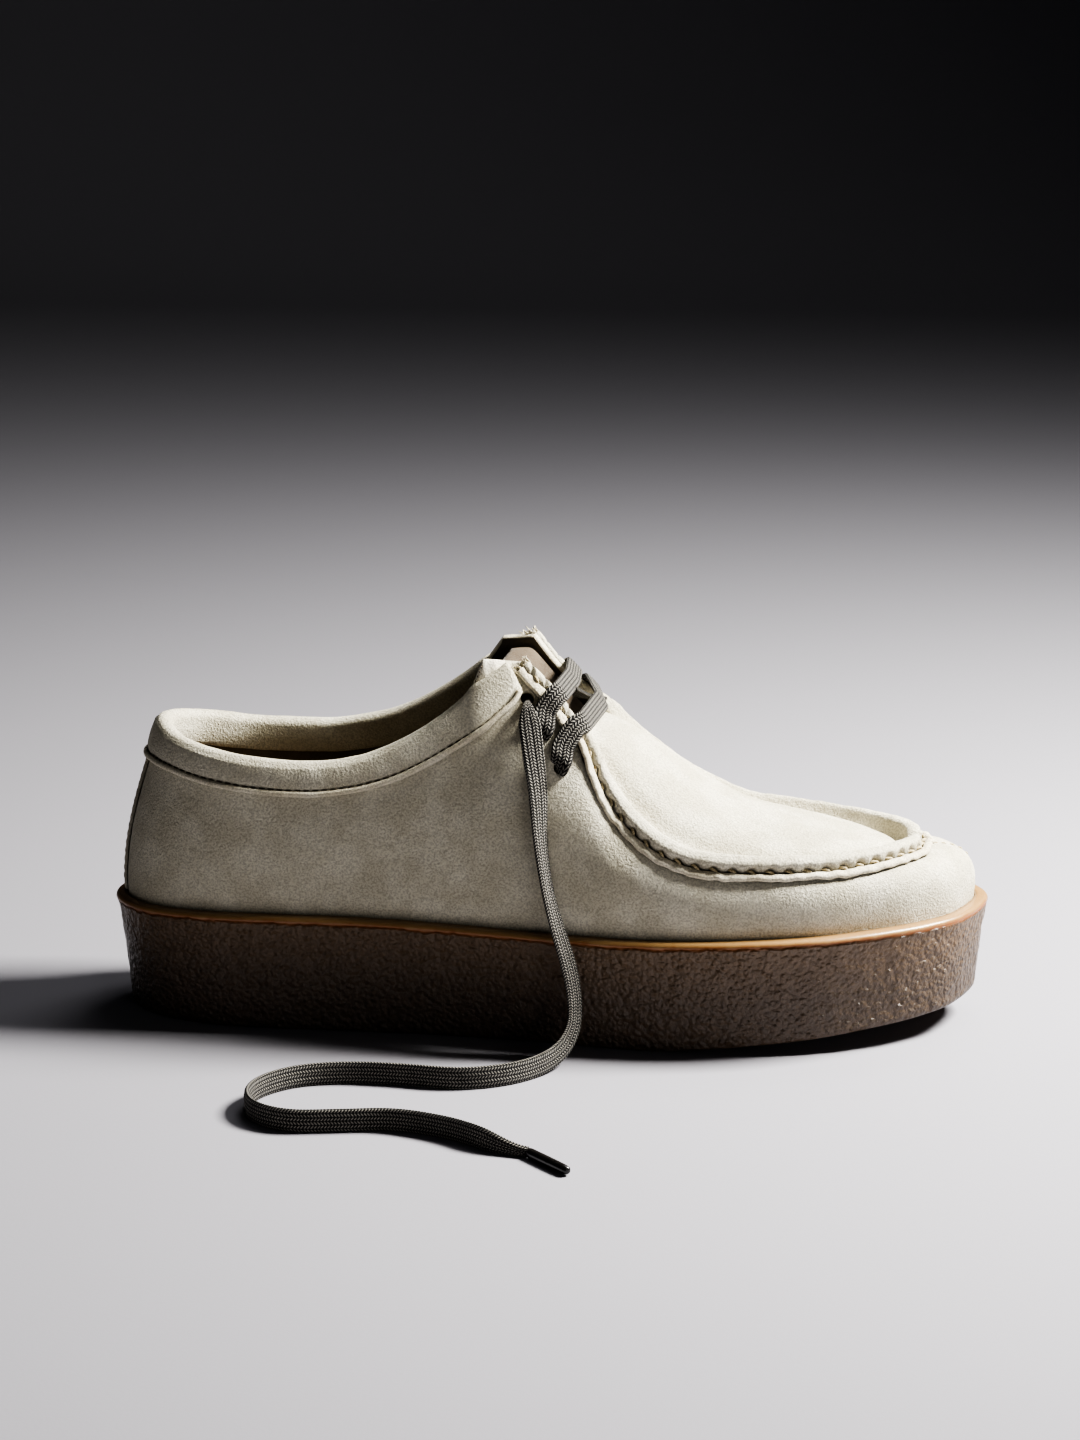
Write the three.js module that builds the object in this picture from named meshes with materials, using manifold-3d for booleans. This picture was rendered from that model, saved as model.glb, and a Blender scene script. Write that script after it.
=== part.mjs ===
import * as THREE from 'three';
import { mergeVertices } from 'three/addons/utils/BufferGeometryUtils.js';
import Module from 'manifold-3d';

const wasm = await Module();
wasm.setup();

// Driving sizes in millimetres. X runs from heel to toe, Y to the inner side of the foot, Z up.
const SOLE_LENGTH = 298;
const SOLE_WIDTH = 107;
const SOLE_HEIGHT = 40;
const TOE_SPRING = 10;
const SIDE_TAPER = 4.8;
const TOE_TAPER_SHARE = 0.75;
const RIM_LAND = 4.6;
const RIM_ROUND = 1.5;
const TREAD_ROUND = 1.3;
const RECESS_DEPTH = 5;
const HEEL_RISE = 59.5;
const INSTEP_RISE = 88;
const TOE_RISE = 18;
const CROWN_HEIGHT = 19;
const WALL = 2.2;
const CLEARANCE = 0.3;
const INSOLE_THICKNESS = 3;
const BAND_DEPTH = 10;
const BAND_THICKNESS = 1.7;
const BAND_TOP = 2.4;
const BAND_LINING_DEPTH = 9;
const PIPING_HEIGHT = 1.7;
const PIPING_RELIEF = 0.7;
const STRIP_WIDTH = 13;
const STRIP_THICKNESS = 1;
const ROLL_WIDTH = 5.8;
const ROLL_HEIGHT = 5.4;
const LIP_WIDTH = 2.8;
const LIP_HEIGHT = 3.2;
const TONGUE_THICKNESS = 2;
const TONGUE_DIP = 9;
const LACE_WIDTH = 7.3;
const LACE_THICKNESS = 1.8;
const HOLE_DIAMETER = 4.6;
const HOLE_DROP = 18.5;
const AGLET_DIAMETER = 3.2;
const AGLET_LENGTH = 20;

// The stations run from the middle of the heel to the tip of the toe. Each row gives the rim of the
// sole there, on the outer and the inner side, as shares of the sole's length and width, then the rim's
// height, the land beside the upper and the lift of the tread as shares of their own sizes.
const SOLE_ROWS = [
  { along: 0.000, outer: 0.000, inner: 0.000, rim: 0.972, land: 0.84, lift: 0 },
  { along: 0.014, outer: 0.136, inner: 0.136, rim: 0.975, land: 0.86, lift: 0 },
  { along: 0.054, outer: 0.258, inner: 0.258, rim: 0.985, land: 0.91, lift: 0 },
  { along: 0.121, outer: 0.340, inner: 0.337, rim: 1.003, land: 0.97, lift: 0 },
  { along: 0.201, outer: 0.366, inner: 0.356, rim: 1.010, land: 1.00, lift: 0 },
  { along: 0.282, outer: 0.372, inner: 0.351, rim: 1.008, land: 1.00, lift: 0 },
  { along: 0.356, outer: 0.379, inner: 0.342, rim: 0.992, land: 1.00, lift: 0 },
  { along: 0.416, outer: 0.393, inner: 0.343, rim: 0.976, land: 1.00, lift: 0 },
  { along: 0.460, outer: 0.409, inner: 0.352, rim: 0.966, land: 1.00, lift: 0 },
  { along: 0.480, outer: 0.418, inner: 0.359, rim: 0.962, land: 1.00, lift: 0 },
  { along: 0.500, outer: 0.427, inner: 0.367, rim: 0.960, land: 1.00, lift: 0 },
  { along: 0.520, outer: 0.437, inner: 0.377, rim: 0.958, land: 1.00, lift: 0 },
  { along: 0.540, outer: 0.447, inner: 0.388, rim: 0.957, land: 1.00, lift: 0 },
  { along: 0.564, outer: 0.460, inner: 0.403, rim: 0.957, land: 1.00, lift: 0 },
  { along: 0.591, outer: 0.473, inner: 0.422, rim: 0.958, land: 1.00, lift: 0 },
  { along: 0.621, outer: 0.485, inner: 0.444, rim: 0.962, land: 1.00, lift: 0 },
  { along: 0.654, outer: 0.495, inner: 0.467, rim: 0.970, land: 1.00, lift: 0.05 },
  { along: 0.695, outer: 0.500, inner: 0.488, rim: 0.980, land: 1.00, lift: 0.17 },
  { along: 0.735, outer: 0.498, inner: 0.499, rim: 0.994, land: 1.00, lift: 0.30 },
  { along: 0.779, outer: 0.484, inner: 0.498, rim: 1.007, land: 1.00, lift: 0.42 },
  { along: 0.826, outer: 0.451, inner: 0.479, rim: 1.018, land: 1.02, lift: 0.55 },
  { along: 0.879, outer: 0.383, inner: 0.434, rim: 1.030, land: 1.02, lift: 0.70 },
  { along: 0.930, outer: 0.288, inner: 0.364, rim: 1.037, land: 0.99, lift: 0.83 },
  { along: 0.973, outer: 0.150, inner: 0.270, rim: 1.040, land: 0.96, lift: 0.94 },
  { along: 1.000, outer: -0.090, inner: 0.090, rim: 1.040, land: 0.96, lift: 1 },
];

// The upper's edge over each station: the topline, the corner of the facing, the facing and the apron
// seam. Along and across are shares of the sole's length and width, rise is a share of the height that
// the row follows, above the rim. Flare and lean are the wall's angles at its foot and at its edge.
const EDGE_ROWS = [
  { outer: [0.057, 0.000, 1.000], inner: [0.057, 0.000, 1.000], of: HEEL_RISE, flare: 1, lean: 17 },
  { outer: [0.066, 0.102, 0.975], inner: [0.066, 0.102, 0.978], of: HEEL_RISE, flare: 3, lean: 16 },
  { outer: [0.092, 0.205, 0.928], inner: [0.089, 0.200, 0.934], of: HEEL_RISE, flare: 5, lean: 13 },
  { outer: [0.140, 0.275, 0.872], inner: [0.136, 0.270, 0.872], of: HEEL_RISE, flare: 8, lean: 12 },
  { outer: [0.198, 0.304, 0.838], inner: [0.195, 0.299, 0.843], of: HEEL_RISE, flare: 9, lean: 12 },
  { outer: [0.258, 0.308, 0.838], inner: [0.255, 0.304, 0.855], of: HEEL_RISE, flare: 9, lean: 14 },
  { outer: [0.315, 0.299, 0.905], inner: [0.312, 0.290, 0.930], of: HEEL_RISE, flare: 9, lean: 17 },
  { outer: [0.370, 0.285, 1.050], inner: [0.366, 0.271, 1.072], of: HEEL_RISE, flare: 9, lean: 20 },
  { outer: [0.418, 0.266, 0.835], inner: [0.413, 0.252, 0.841], of: INSTEP_RISE, flare: 10, lean: 24 },
  { outer: [0.436, 0.234, 1.000], inner: [0.441, 0.234, 0.977], of: INSTEP_RISE, flare: 10, lean: 26 },
  { outer: [0.485, 0.196, 0.983], inner: [0.480, 0.192, 1.000], of: INSTEP_RISE, flare: 10, lean: 30 },
  { outer: [0.503, 0.206, 0.921], inner: [0.500, 0.201, 0.910], of: INSTEP_RISE, flare: 11, lean: 34 },
  { outer: [0.523, 0.215, 0.838], inner: [0.520, 0.210, 0.832], of: INSTEP_RISE, flare: 11, lean: 38 },
  { outer: [0.544, 0.243, 0.724], inner: [0.544, 0.234, 0.741], of: INSTEP_RISE, flare: 12, lean: 42 },
  { outer: [0.560, 0.285, 0.582], inner: [0.567, 0.266, 0.644], of: INSTEP_RISE, flare: 12, lean: 48 },
  { outer: [0.591, 0.341, 0.420], inner: [0.597, 0.304, 0.522], of: INSTEP_RISE, flare: 12, lean: 52 },
  { outer: [0.628, 0.383, 1.540], inner: [0.634, 0.332, 2.010], of: TOE_RISE, flare: 12, lean: 54 },
  { outer: [0.671, 0.407, 1.250], inner: [0.674, 0.350, 1.600], of: TOE_RISE, flare: 13, lean: 56 },
  { outer: [0.721, 0.411, 1.130], inner: [0.721, 0.355, 1.260], of: TOE_RISE, flare: 13, lean: 59 },
  { outer: [0.775, 0.397, 1.085], inner: [0.772, 0.341, 1.150], of: TOE_RISE, flare: 12, lean: 64 },
  { outer: [0.829, 0.350, 1.065], inner: [0.822, 0.304, 1.075], of: TOE_RISE, flare: 10, lean: 72 },
  { outer: [0.876, 0.266, 1.065], inner: [0.867, 0.238, 1.040], of: TOE_RISE, flare: 8, lean: 79 },
  { outer: [0.903, 0.182, 1.055], inner: [0.901, 0.164, 1.030], of: TOE_RISE, flare: 6, lean: 84 },
  { outer: [0.921, 0.089, 1.030], inner: [0.921, 0.089, 1.020], of: TOE_RISE, flare: 5, lean: 87 },
  { outer: [0.926, -0.009, 1.015], inner: [0.926, 0.009, 1.015], of: TOE_RISE, flare: 4, lean: 88 },
];
const TOE = SOLE_ROWS.length - 1;
const LOOP = 2 * TOE;
const STATION = { earBase: 8, earTip: 9, facingTop: 10, apronStart: 13, bandFoldEnd: 7.9, bandEnd: 9.5 };

// The apron's height over the straight line between its two seams, at each station from its rear edge.
const CROWN_SHARES = [0.00, 0.46, 0.90, 1.00, 0.87, 0.69, 0.51, 0.36, 0.17, 0.04, -0.02, 0.00];

// Depth of the collar band below the upper's edge, at the stations from the heel to its front end.
const BAND_SHARES = [1.00, 0.90, 0.76, 0.74, 0.80, 0.88, 0.96, 1.14, 1.32, 2.05, 1.20];

// Seam roll and lip: how far each lies inward of the edge and above it, and its size, at four stations
// from the top of the facing to the side of the apron, beyond which the last row holds.
const SEAM_ROWS = [
  { station: 10, roll: [-0.31, 0.17, 0.56, 0.50], lip: [-1.80, 0.28, 1.06, 0.84] },
  { station: 12.4, roll: [-0.28, 0.18, 0.62, 0.60], lip: [-1.72, 0.28, 1.06, 0.84] },
  { station: 14, roll: [0.24, 0.26, 0.84, 0.84], lip: [-0.90, 0.26, 1.00, 0.94] },
  { station: 15.5, roll: [0.52, 0.31, 1.00, 1.00], lip: [-0.50, 0.26, 1.00, 1.00] },
];

// The tongue from its top to its end under the apron: its dip below the edge, its distance from the
// facing as multiples of its thickness, and how far its top stands above the edge.
const TONGUE_ROWS = [
  { station: 9.25, dip: 0.10, inset: 3.0 },
  { station: 9.75, dip: 0.45, inset: 2.6 },
  { station: 10.4, dip: 0.85, inset: 1.7 },
  { station: 11.2, dip: 1.00, inset: 1.3 },
  { station: 12.0, dip: 0.82, inset: 1.3 },
  { station: 12.6, dip: 0.30, inset: 1.5 },
  { station: 13.0, dip: 0.00, inset: 1.7 },
  { station: 14.0, dip: 0.00, inset: 2.2 },
  { station: 15.0, dip: 0.00, inset: 2.6 },
];

// Lace holes: the station and the distance down the wall from its edge.
const HOLE_ROWS = [
  { station: 10, drop: 0.68 * HOLE_DROP },
  { station: 11, drop: HOLE_DROP },
  { station: 12, drop: 1.24 * HOLE_DROP },
];

const UP = new THREE.Vector3(0, 0, 1);
const RIB_STEPS = 6;
const LOOP_STEPS = 2;
const APRON_STEPS = 8;

function vector(x, y, z) {
  return new THREE.Vector3(x, y, z);
}

function mix(a, b, t) {
  return a + (b - a) * t;
}

function smooth(from, to, value) {
  return THREE.MathUtils.smoothstep(value, from, to);
}

// Value of a curve through evenly numbered values, with sharp corners where they are asked for.
function through(values, place, corners = []) {
  const last = values.length - 1;
  const i = Math.min(Math.max(Math.floor(place), 0), last - 1);
  const t = place - i;
  const a = values[i];
  const b = values[i + 1];
  const before = i === 0 || corners.includes(i) ? 2 * a - b : values[i - 1];
  const after = i + 1 === last || corners.includes(i + 1) ? 2 * b - a : values[i + 2];
  const slopeA = (b - before) / 2;
  const slopeB = (after - a) / 2;
  const t2 = t * t;
  const t3 = t2 * t;
  const fromA = (2 * t3 - 3 * t2 + 1) * a + (t3 - 2 * t2 + t) * slopeA;
  return fromA + (3 * t2 - 2 * t3) * b + (t3 - t2) * slopeB;
}

// Value of a closed curve around the shoe: outer side from heel to toe, then inner side back.
function around(outer, inner, place, corners = []) {
  const back = inner.slice(1, TOE).reverse();
  const ring = [...outer, ...back];
  const wrapped = [ring[LOOP - 2], ring[LOOP - 1], ...ring, ring[0], ring[1], ring[2]];
  const p = ((place % LOOP) + LOOP) % LOOP;
  const marks = corners.flatMap((c) => [c + 2, LOOP - c + 2]);
  return through(wrapped, p + 2, marks);
}

// Station of a place on the loop, counted from the heel on either side.
function station(place) {
  const p = ((place % LOOP) + LOOP) % LOOP;
  return p <= TOE ? p : LOOP - p;
}

function column(rows, key) {
  return rows.map((row) => row[key]);
}

// Value of a table whose rows name their stations, held beyond the first and last row.
function atStation(rows, s, pick) {
  const last = rows.length - 1;
  if (s <= rows[0].station) return pick(rows[0]);
  if (s >= rows[last].station) return pick(rows[last]);
  const i = rows.findIndex((row) => row.station > s) - 1;
  const t = (s - rows[i].station) / (rows[i + 1].station - rows[i].station);
  return mix(pick(rows[i]), pick(rows[i + 1]), smooth(0, 1, t));
}

// Rim of the sole, its height and its outward direction in plan.
const rimAlong = column(SOLE_ROWS, 'along').map((share) => (share - 0.5) * SOLE_LENGTH);
const rimOuter = column(SOLE_ROWS, 'outer').map((share) => -share * SOLE_WIDTH);
const rimInner = column(SOLE_ROWS, 'inner').map((share) => share * SOLE_WIDTH);

function rimPlan(place) {
  return vector(around(rimAlong, rimAlong, place), around(rimOuter, rimInner, place), 0);
}

function outward(place) {
  const step = 0.05;
  const along = rimPlan(place + step).sub(rimPlan(place - step));
  return vector(along.y, -along.x, 0).normalize();
}

function rimHeight(place) {
  return SOLE_HEIGHT * through(column(SOLE_ROWS, 'rim'), station(place));
}

function rimLand(place) {
  return RIM_LAND * through(column(SOLE_ROWS, 'land'), station(place));
}

function treadHeight(place) {
  return TOE_SPRING * Math.max(0, through(column(SOLE_ROWS, 'lift'), station(place)));
}

function sideTaper(place) {
  return SIDE_TAPER * mix(1, TOE_TAPER_SHARE, smooth(TOE - 5, TOE, station(place)));
}

function outline(place, inset, height) {
  return rimPlan(place).addScaledVector(outward(place), -inset).setZ(height);
}

// Edge of the upper.
const corners = [STATION.earBase, STATION.earTip, STATION.facingTop];

function edgeValues(side, axis) {
  return EDGE_ROWS.map((row, i) => {
    if (axis === 0) return (row[side][0] - 0.5) * SOLE_LENGTH;
    if (axis === 1) return (side === 'outer' ? -1 : 1) * row[side][1] * SOLE_WIDTH;
    return SOLE_HEIGHT * SOLE_ROWS[i].rim + row[side][2] * row.of;
  });
}
const edgeTable = [0, 1, 2].map((axis) => [edgeValues('outer', axis), edgeValues('inner', axis)]);

function edge(place) {
  const [x, y, z] = edgeTable.map(([outer, inner]) => around(outer, inner, place, corners));
  return vector(x, y, z);
}

function angle(key, place) {
  return THREE.MathUtils.degToRad(through(column(EDGE_ROWS, key), station(place)));
}

// Foot of the wall at the rim, and the wall's curve from there to its edge, fuller round the toe.
const HANDLE_SHARE = 0.36;
const TOE_HANDLE_SHARE = 0.52;

function foot(place) {
  return outline(place, rimLand(place) + CLEARANCE, rimHeight(place) + CLEARANCE);
}

function rib(place) {
  const full = mix(HANDLE_SHARE, TOE_HANDLE_SHARE, smooth(TOE - 6, TOE - 1, station(place)));
  const from = foot(place);
  const to = edge(place);
  const out = outward(place);
  const span = to.clone().sub(from);
  const drift = span.clone().addScaledVector(out, -span.dot(out)).setZ(0);
  const handle = full * span.length();
  const flare = angle('flare', place);
  const lean = angle('lean', place);
  const low = from.clone().addScaledVector(UP, handle * Math.cos(flare));
  low.addScaledVector(out, handle * Math.sin(flare)).addScaledVector(drift, full);
  const high = to.clone().addScaledVector(UP, -handle * Math.cos(lean));
  high.addScaledVector(out, handle * Math.sin(lean)).addScaledVector(drift, -full);
  return new THREE.CubicBezierCurve3(from, low, high, to);
}

// Outer surface of the wall at a share of the way up its rib, and its outward direction.
function wallPoint(place, share) {
  return rib(place).getPoint(share);
}

function wallNormal(place, share) {
  const step = 0.04;
  const low = Math.min(share, 1 - step);
  const high = low + step;
  const upward = wallPoint(place, high).sub(wallPoint(place, low));
  const ahead = wallPoint(place + step, share).sub(wallPoint(place - step, share));
  return ahead.cross(upward).normalize();
}

// Share of the rib that lies a given distance below its edge.
function shareBelow(place, drop) {
  return 1 - Math.min(drop / rib(place).getLength(), 1);
}

function ribShare(place, drop) {
  return rib(place).getUtoTmapping(shareBelow(place, drop));
}

// Apron surface between the two seams: s counts stations and across runs from outer to inner side.
function crown(s, across) {
  const height = CROWN_HEIGHT * through(CROWN_SHARES, s - STATION.apronStart);
  return height * (1 - Math.abs(2 * across - 1) ** 2.4);
}

function apronPoint(s, across) {
  const point = edge(s).lerp(edge(LOOP - s), across);
  return point.addScaledVector(UP, crown(s, across));
}

// Closed body from points and triangles, turned so that its faces point outward.
function body(points, triangles) {
  let volume = 0;
  for (const [a, b, c] of triangles) {
    volume += points[a].dot(points[b].clone().cross(points[c]));
  }
  const faces = volume < 0 ? triangles.map(([a, b, c]) => [a, c, b]) : triangles;
  return { points, faces };
}

function toManifold({ points, faces }) {
  const vertProperties = new Float32Array(points.flatMap((p) => [p.x, p.y, p.z]));
  const triVerts = new Uint32Array(faces.flat());
  return new wasm.Manifold(new wasm.Mesh({ numProp: 3, vertProperties, triVerts }));
}

function toGeometry({ points, faces }) {
  const geometry = new THREE.BufferGeometry();
  geometry.setAttribute('position', new THREE.Float32BufferAttribute(points.flatMap((p) => p.toArray()), 3));
  geometry.setIndex(faces.flat());
  geometry.computeVertexNormals();
  return geometry;
}

function fromManifold(manifold) {
  const mesh = manifold.getMesh();
  const geometry = new THREE.BufferGeometry();
  geometry.setAttribute('position', new THREE.BufferAttribute(mesh.vertProperties, 3));
  geometry.setIndex(new THREE.BufferAttribute(mesh.triVerts, 1));
  geometry.computeVertexNormals();
  return geometry;
}

// Body swept through closed rings of points, each with as many points as the next.
function sweep(rings, capEnds) {
  const count = rings[0].length;
  const points = rings.flat();
  const triangles = [];
  for (let i = 0; i + 1 < rings.length; i += 1) {
    for (let j = 0; j < count; j += 1) {
      const a = i * count + j;
      const b = i * count + ((j + 1) % count);
      triangles.push([a, b, b + count], [a, b + count, a + count]);
    }
  }
  const first = rings[0].map((point, j) => j);
  const last = first.map((j) => j + (rings.length - 1) * count);
  for (const [a, b, c] of capEnds(count)) {
    triangles.push([first[a], first[c], first[b]], [last[a], last[b], last[c]]);
  }
  return body(points, triangles);
}

// Cap of a rounded section, as a fan.
function fanCap(count) {
  const faces = [];
  for (let j = 1; j + 1 < count; j += 1) faces.push([0, j, j + 1]);
  return faces;
}

// Cap of a section that goes along one path and back along another, as a strip between them.
function stripCap(count) {
  const faces = [];
  for (let j = 0; j + 1 < count / 2; j += 1) {
    const back = count - 1 - j;
    faces.push([j, j + 1, back - 1], [j, back - 1, back]);
  }
  return faces;
}

// Wall of even thickness inside an open surface, closed along its free edges.
function thicken(points, triangles, wall) {
  const sums = points.map(() => vector(0, 0, 0));
  const normals = triangles.map(([a, b, c]) => {
    const side = points[b].clone().sub(points[a]);
    return side.cross(points[c].clone().sub(points[a])).normalize();
  });
  const around3 = [[0, 1, 2], [1, 2, 0], [2, 0, 1]];
  triangles.forEach((triangle, i) => {
    for (const [at, next, other] of around3) {
      const here = points[triangle[at]];
      const one = points[triangle[next]].clone().sub(here);
      const two = points[triangle[other]].clone().sub(here);
      sums[triangle[at]].addScaledVector(normals[i], one.angleTo(two));
    }
  });
  const directions = sums.map((sum) => sum.normalize());
  const closeness = points.map(() => [0, 0]);
  triangles.forEach((triangle, i) => {
    for (const at of triangle) {
      closeness[at][0] += directions[at].dot(normals[i]);
      closeness[at][1] += 1;
    }
  });
  const inside = points.map((point, i) => {
    const mitre = Math.min(closeness[i][1] / closeness[i][0], 1.5);
    return point.clone().addScaledVector(directions[i], -wall * mitre);
  });
  const count = points.length;
  const faces = [];
  const edges = new Set();
  for (const [a, b, c] of triangles) {
    faces.push([a, b, c], [a + count, c + count, b + count]);
    edges.add(`${a} ${b}`).add(`${b} ${c}`).add(`${c} ${a}`);
  }
  for (const pair of edges) {
    const [a, b] = pair.split(' ').map(Number);
    if (!edges.has(`${b} ${a}`)) faces.push([b, a, a + count], [b, a + count, b + count]);
  }
  return body([...points, ...inside], faces);
}

// Places around the loop, evenly stepped from one to another.
function placesBetween(from, to) {
  const count = Math.round((to - from) * LOOP_STEPS);
  return Array.from({ length: count + 1 }, (unused, i) => mix(from, to, i / count));
}
const loopPlaces = placesBetween(0, LOOP).slice(0, -1);

// Body between loops of points stacked from the bottom up, closed by a strip across each end loop.
function stack(rings) {
  const count = rings[0].length;
  const half = count / 2;
  const cap = () => {
    const faces = [];
    for (let i = 0; i < half; i += 1) {
      const j = (count - i) % count;
      const back = count - i - 1;
      if (i > 0) faces.push([i, i + 1, j]);
      if (i + 1 < half) faces.push([i + 1, back, j]);
    }
    return faces;
  };
  return sweep(rings, cap);
}

// Sole: tread, tapered side, rounded rim and the recess that takes the upper.
function soleBody() {
  const side = [
    { down: 0.42, taper: 0.53 },
    { down: 0.12, taper: 0.22 },
  ];
  const ring = (inset, height) => loopPlaces.map((p) => outline(p, inset(p), height(p)));
  const rings = [
    ring((p) => sideTaper(p) + TREAD_ROUND, treadHeight),
    ring(sideTaper, (p) => treadHeight(p) + TREAD_ROUND),
  ];
  for (const { down, taper } of side) {
    rings.push(ring((p) => sideTaper(p) * taper, (p) => mix(rimHeight(p), treadHeight(p), down)));
  }
  rings.push(
    ring(() => 0, (p) => rimHeight(p) - RIM_ROUND),
    ring(() => RIM_ROUND * 0.3, (p) => rimHeight(p) - RIM_ROUND * 0.3),
    ring(() => RIM_ROUND, rimHeight),
    ring(rimLand, rimHeight),
    ring(rimLand, (p) => rimHeight(p) - RECESS_DEPTH),
  );
  return stack(rings);
}

// Insole: a plate on the floor of the recess, inside the foot of the wall.
function insoleBody() {
  const inset = (p) => rimLand(p) + WALL + 3 * CLEARANCE;
  const base = (p) => rimHeight(p) - RECESS_DEPTH + CLEARANCE;
  const rings = [0, INSOLE_THICKNESS].map((height) =>
    loopPlaces.map((p) => outline(p, inset(p), base(p) + height)));
  return stack(rings);
}

// Outer surface of the upper: the wall from its seat in the recess to its edge, then the apron.
function upperSurface() {
  const points = [];
  const triangles = [];
  const count = loopPlaces.length;
  const levels = RIB_STEPS + 2;
  for (const place of loopPlaces) {
    const seat = foot(place);
    points.push(seat.clone().setZ(rimHeight(place) - RECESS_DEPTH + CLEARANCE));
    const curve = rib(place);
    for (let j = 0; j <= RIB_STEPS; j += 1) points.push(curve.getPoint(j / RIB_STEPS));
  }
  for (let i = 0; i < count; i += 1) {
    const next = (i + 1) % count;
    for (let j = 0; j + 1 < levels; j += 1) {
      const a = i * levels + j;
      const b = next * levels + j;
      triangles.push([a, b, b + 1], [a, b + 1, a + 1]);
    }
  }
  const top = (place) => (Math.round(place * LOOP_STEPS) % count) * levels + levels - 1;
  const rows = placesBetween(STATION.apronStart, TOE - 1 / LOOP_STEPS).map((s) => {
    const row = [top(s)];
    for (let k = 1; k < APRON_STEPS; k += 1) {
      row.push(points.push(apronPoint(s, k / APRON_STEPS)) - 1);
    }
    return [...row, top(LOOP - s)];
  });
  for (let i = 0; i + 1 < rows.length; i += 1) {
    for (let k = 0; k < APRON_STEPS; k += 1) {
      const [a, b] = [rows[i][k], rows[i][k + 1]];
      const [c, d] = [rows[i + 1][k], rows[i + 1][k + 1]];
      triangles.push([a, c, d], [a, d, b]);
    }
  }
  const lastRow = rows[rows.length - 1];
  for (let k = 0; k < APRON_STEPS; k += 1) triangles.push([lastRow[k], top(TOE), lastRow[k + 1]]);
  return { points, triangles };
}

// Frame of the seam at a place: along it, inward across it, and up from the surface.
function seamFrame(place) {
  const step = 0.02;
  const s = station(place);
  const first = s <= STATION.facingTop + step;
  const toToe = place <= TOE ? 1 : -1;
  const from = first ? place : place - step;
  const to = first ? place + toToe * step : place + step;
  const tangent = edge(to).sub(edge(from)).normalize();
  if (first && toToe < 0) tangent.negate();
  const wall = wallNormal(place, 1);
  const turned = smooth(STATION.apronStart - 1, STATION.apronStart + 2, s);
  const across = place <= TOE ? 0.06 : 0.94;
  const apronSide = s > STATION.apronStart ? apronPoint(Math.min(s, TOE - 0.3), across) : edge(place);
  const inwardOnApron = apronSide.sub(edge(place)).normalize();
  const apronUp = tangent.clone().cross(inwardOnApron).normalize();
  if (apronUp.z < 0) apronUp.negate();
  const normal = s > STATION.apronStart ? wall.lerp(apronUp, 0.5 * turned).normalize() : wall;
  normal.addScaledVector(tangent, -normal.dot(tangent)).normalize();
  const inward = normal.clone().cross(tangent).normalize();
  return { origin: edge(place), tangent, inward, normal };
}

// A raised strip along the seam from one facing's top round the toe to the other's.
function seamStrip(key, width, height, sides) {
  const rings = placesBetween(STATION.facingTop, LOOP - STATION.facingTop).map((place) => {
    const { origin, inward, normal } = seamFrame(place);
    const s = station(place);
    const [off, lift, wide, high] = [0, 1, 2, 3].map((i) => atStation(SEAM_ROWS, s, (row) => row[key][i]));
    const centre = origin.clone().addScaledVector(inward, off * width);
    centre.addScaledVector(normal, lift * height);
    return Array.from({ length: sides }, (unused, k) => {
      const turn = (2 * Math.PI * (k + 0.5)) / sides;
      const point = centre.clone().addScaledVector(inward, (wide * width * Math.cos(turn)) / 2);
      return point.addScaledVector(normal, (high * height * Math.sin(turn)) / 2);
    });
  });
  return sweep(rings, fanCap);
}

// A point on the wall's outer surface a distance below its edge, lifted off the surface.
function onWall(place, drop, lift) {
  const share = ribShare(place, drop);
  return wallPoint(place, share).addScaledVector(wallNormal(place, share), lift);
}

function holePlaces(row) {
  return [row.station, LOOP - row.station];
}

function punch(place, drop) {
  const reach = 2 * WALL;
  const from = onWall(place, drop, -reach - WALL);
  const to = onWall(place, drop, reach);
  const sides = 10;
  const axis = to.clone().sub(from).normalize();
  const one = axis.clone().cross(UP).normalize();
  const two = axis.clone().cross(one);
  const rings = [from, to].map((centre) => Array.from({ length: sides }, (unused, k) => {
    const turn = (2 * Math.PI * k) / sides;
    const point = centre.clone().addScaledVector(one, (HOLE_DIAMETER / 2) * Math.cos(turn));
    return point.addScaledVector(two, (HOLE_DIAMETER / 2) * Math.sin(turn));
  }));
  return sweep(rings, fanCap);
}

function upperGeometry() {
  const { points, triangles } = upperSurface();
  let whole = toManifold(thicken(points, triangles, WALL));
  whole = whole.add(toManifold(seamStrip('roll', ROLL_WIDTH, ROLL_HEIGHT, 6)));
  whole = whole.add(toManifold(seamStrip('lip', LIP_WIDTH, LIP_HEIGHT, 4)));
  for (const row of HOLE_ROWS) {
    for (const place of holePlaces(row)) whole = whole.subtract(toManifold(punch(place, row.drop)));
  }
  return fromManifold(whole);
}

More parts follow.
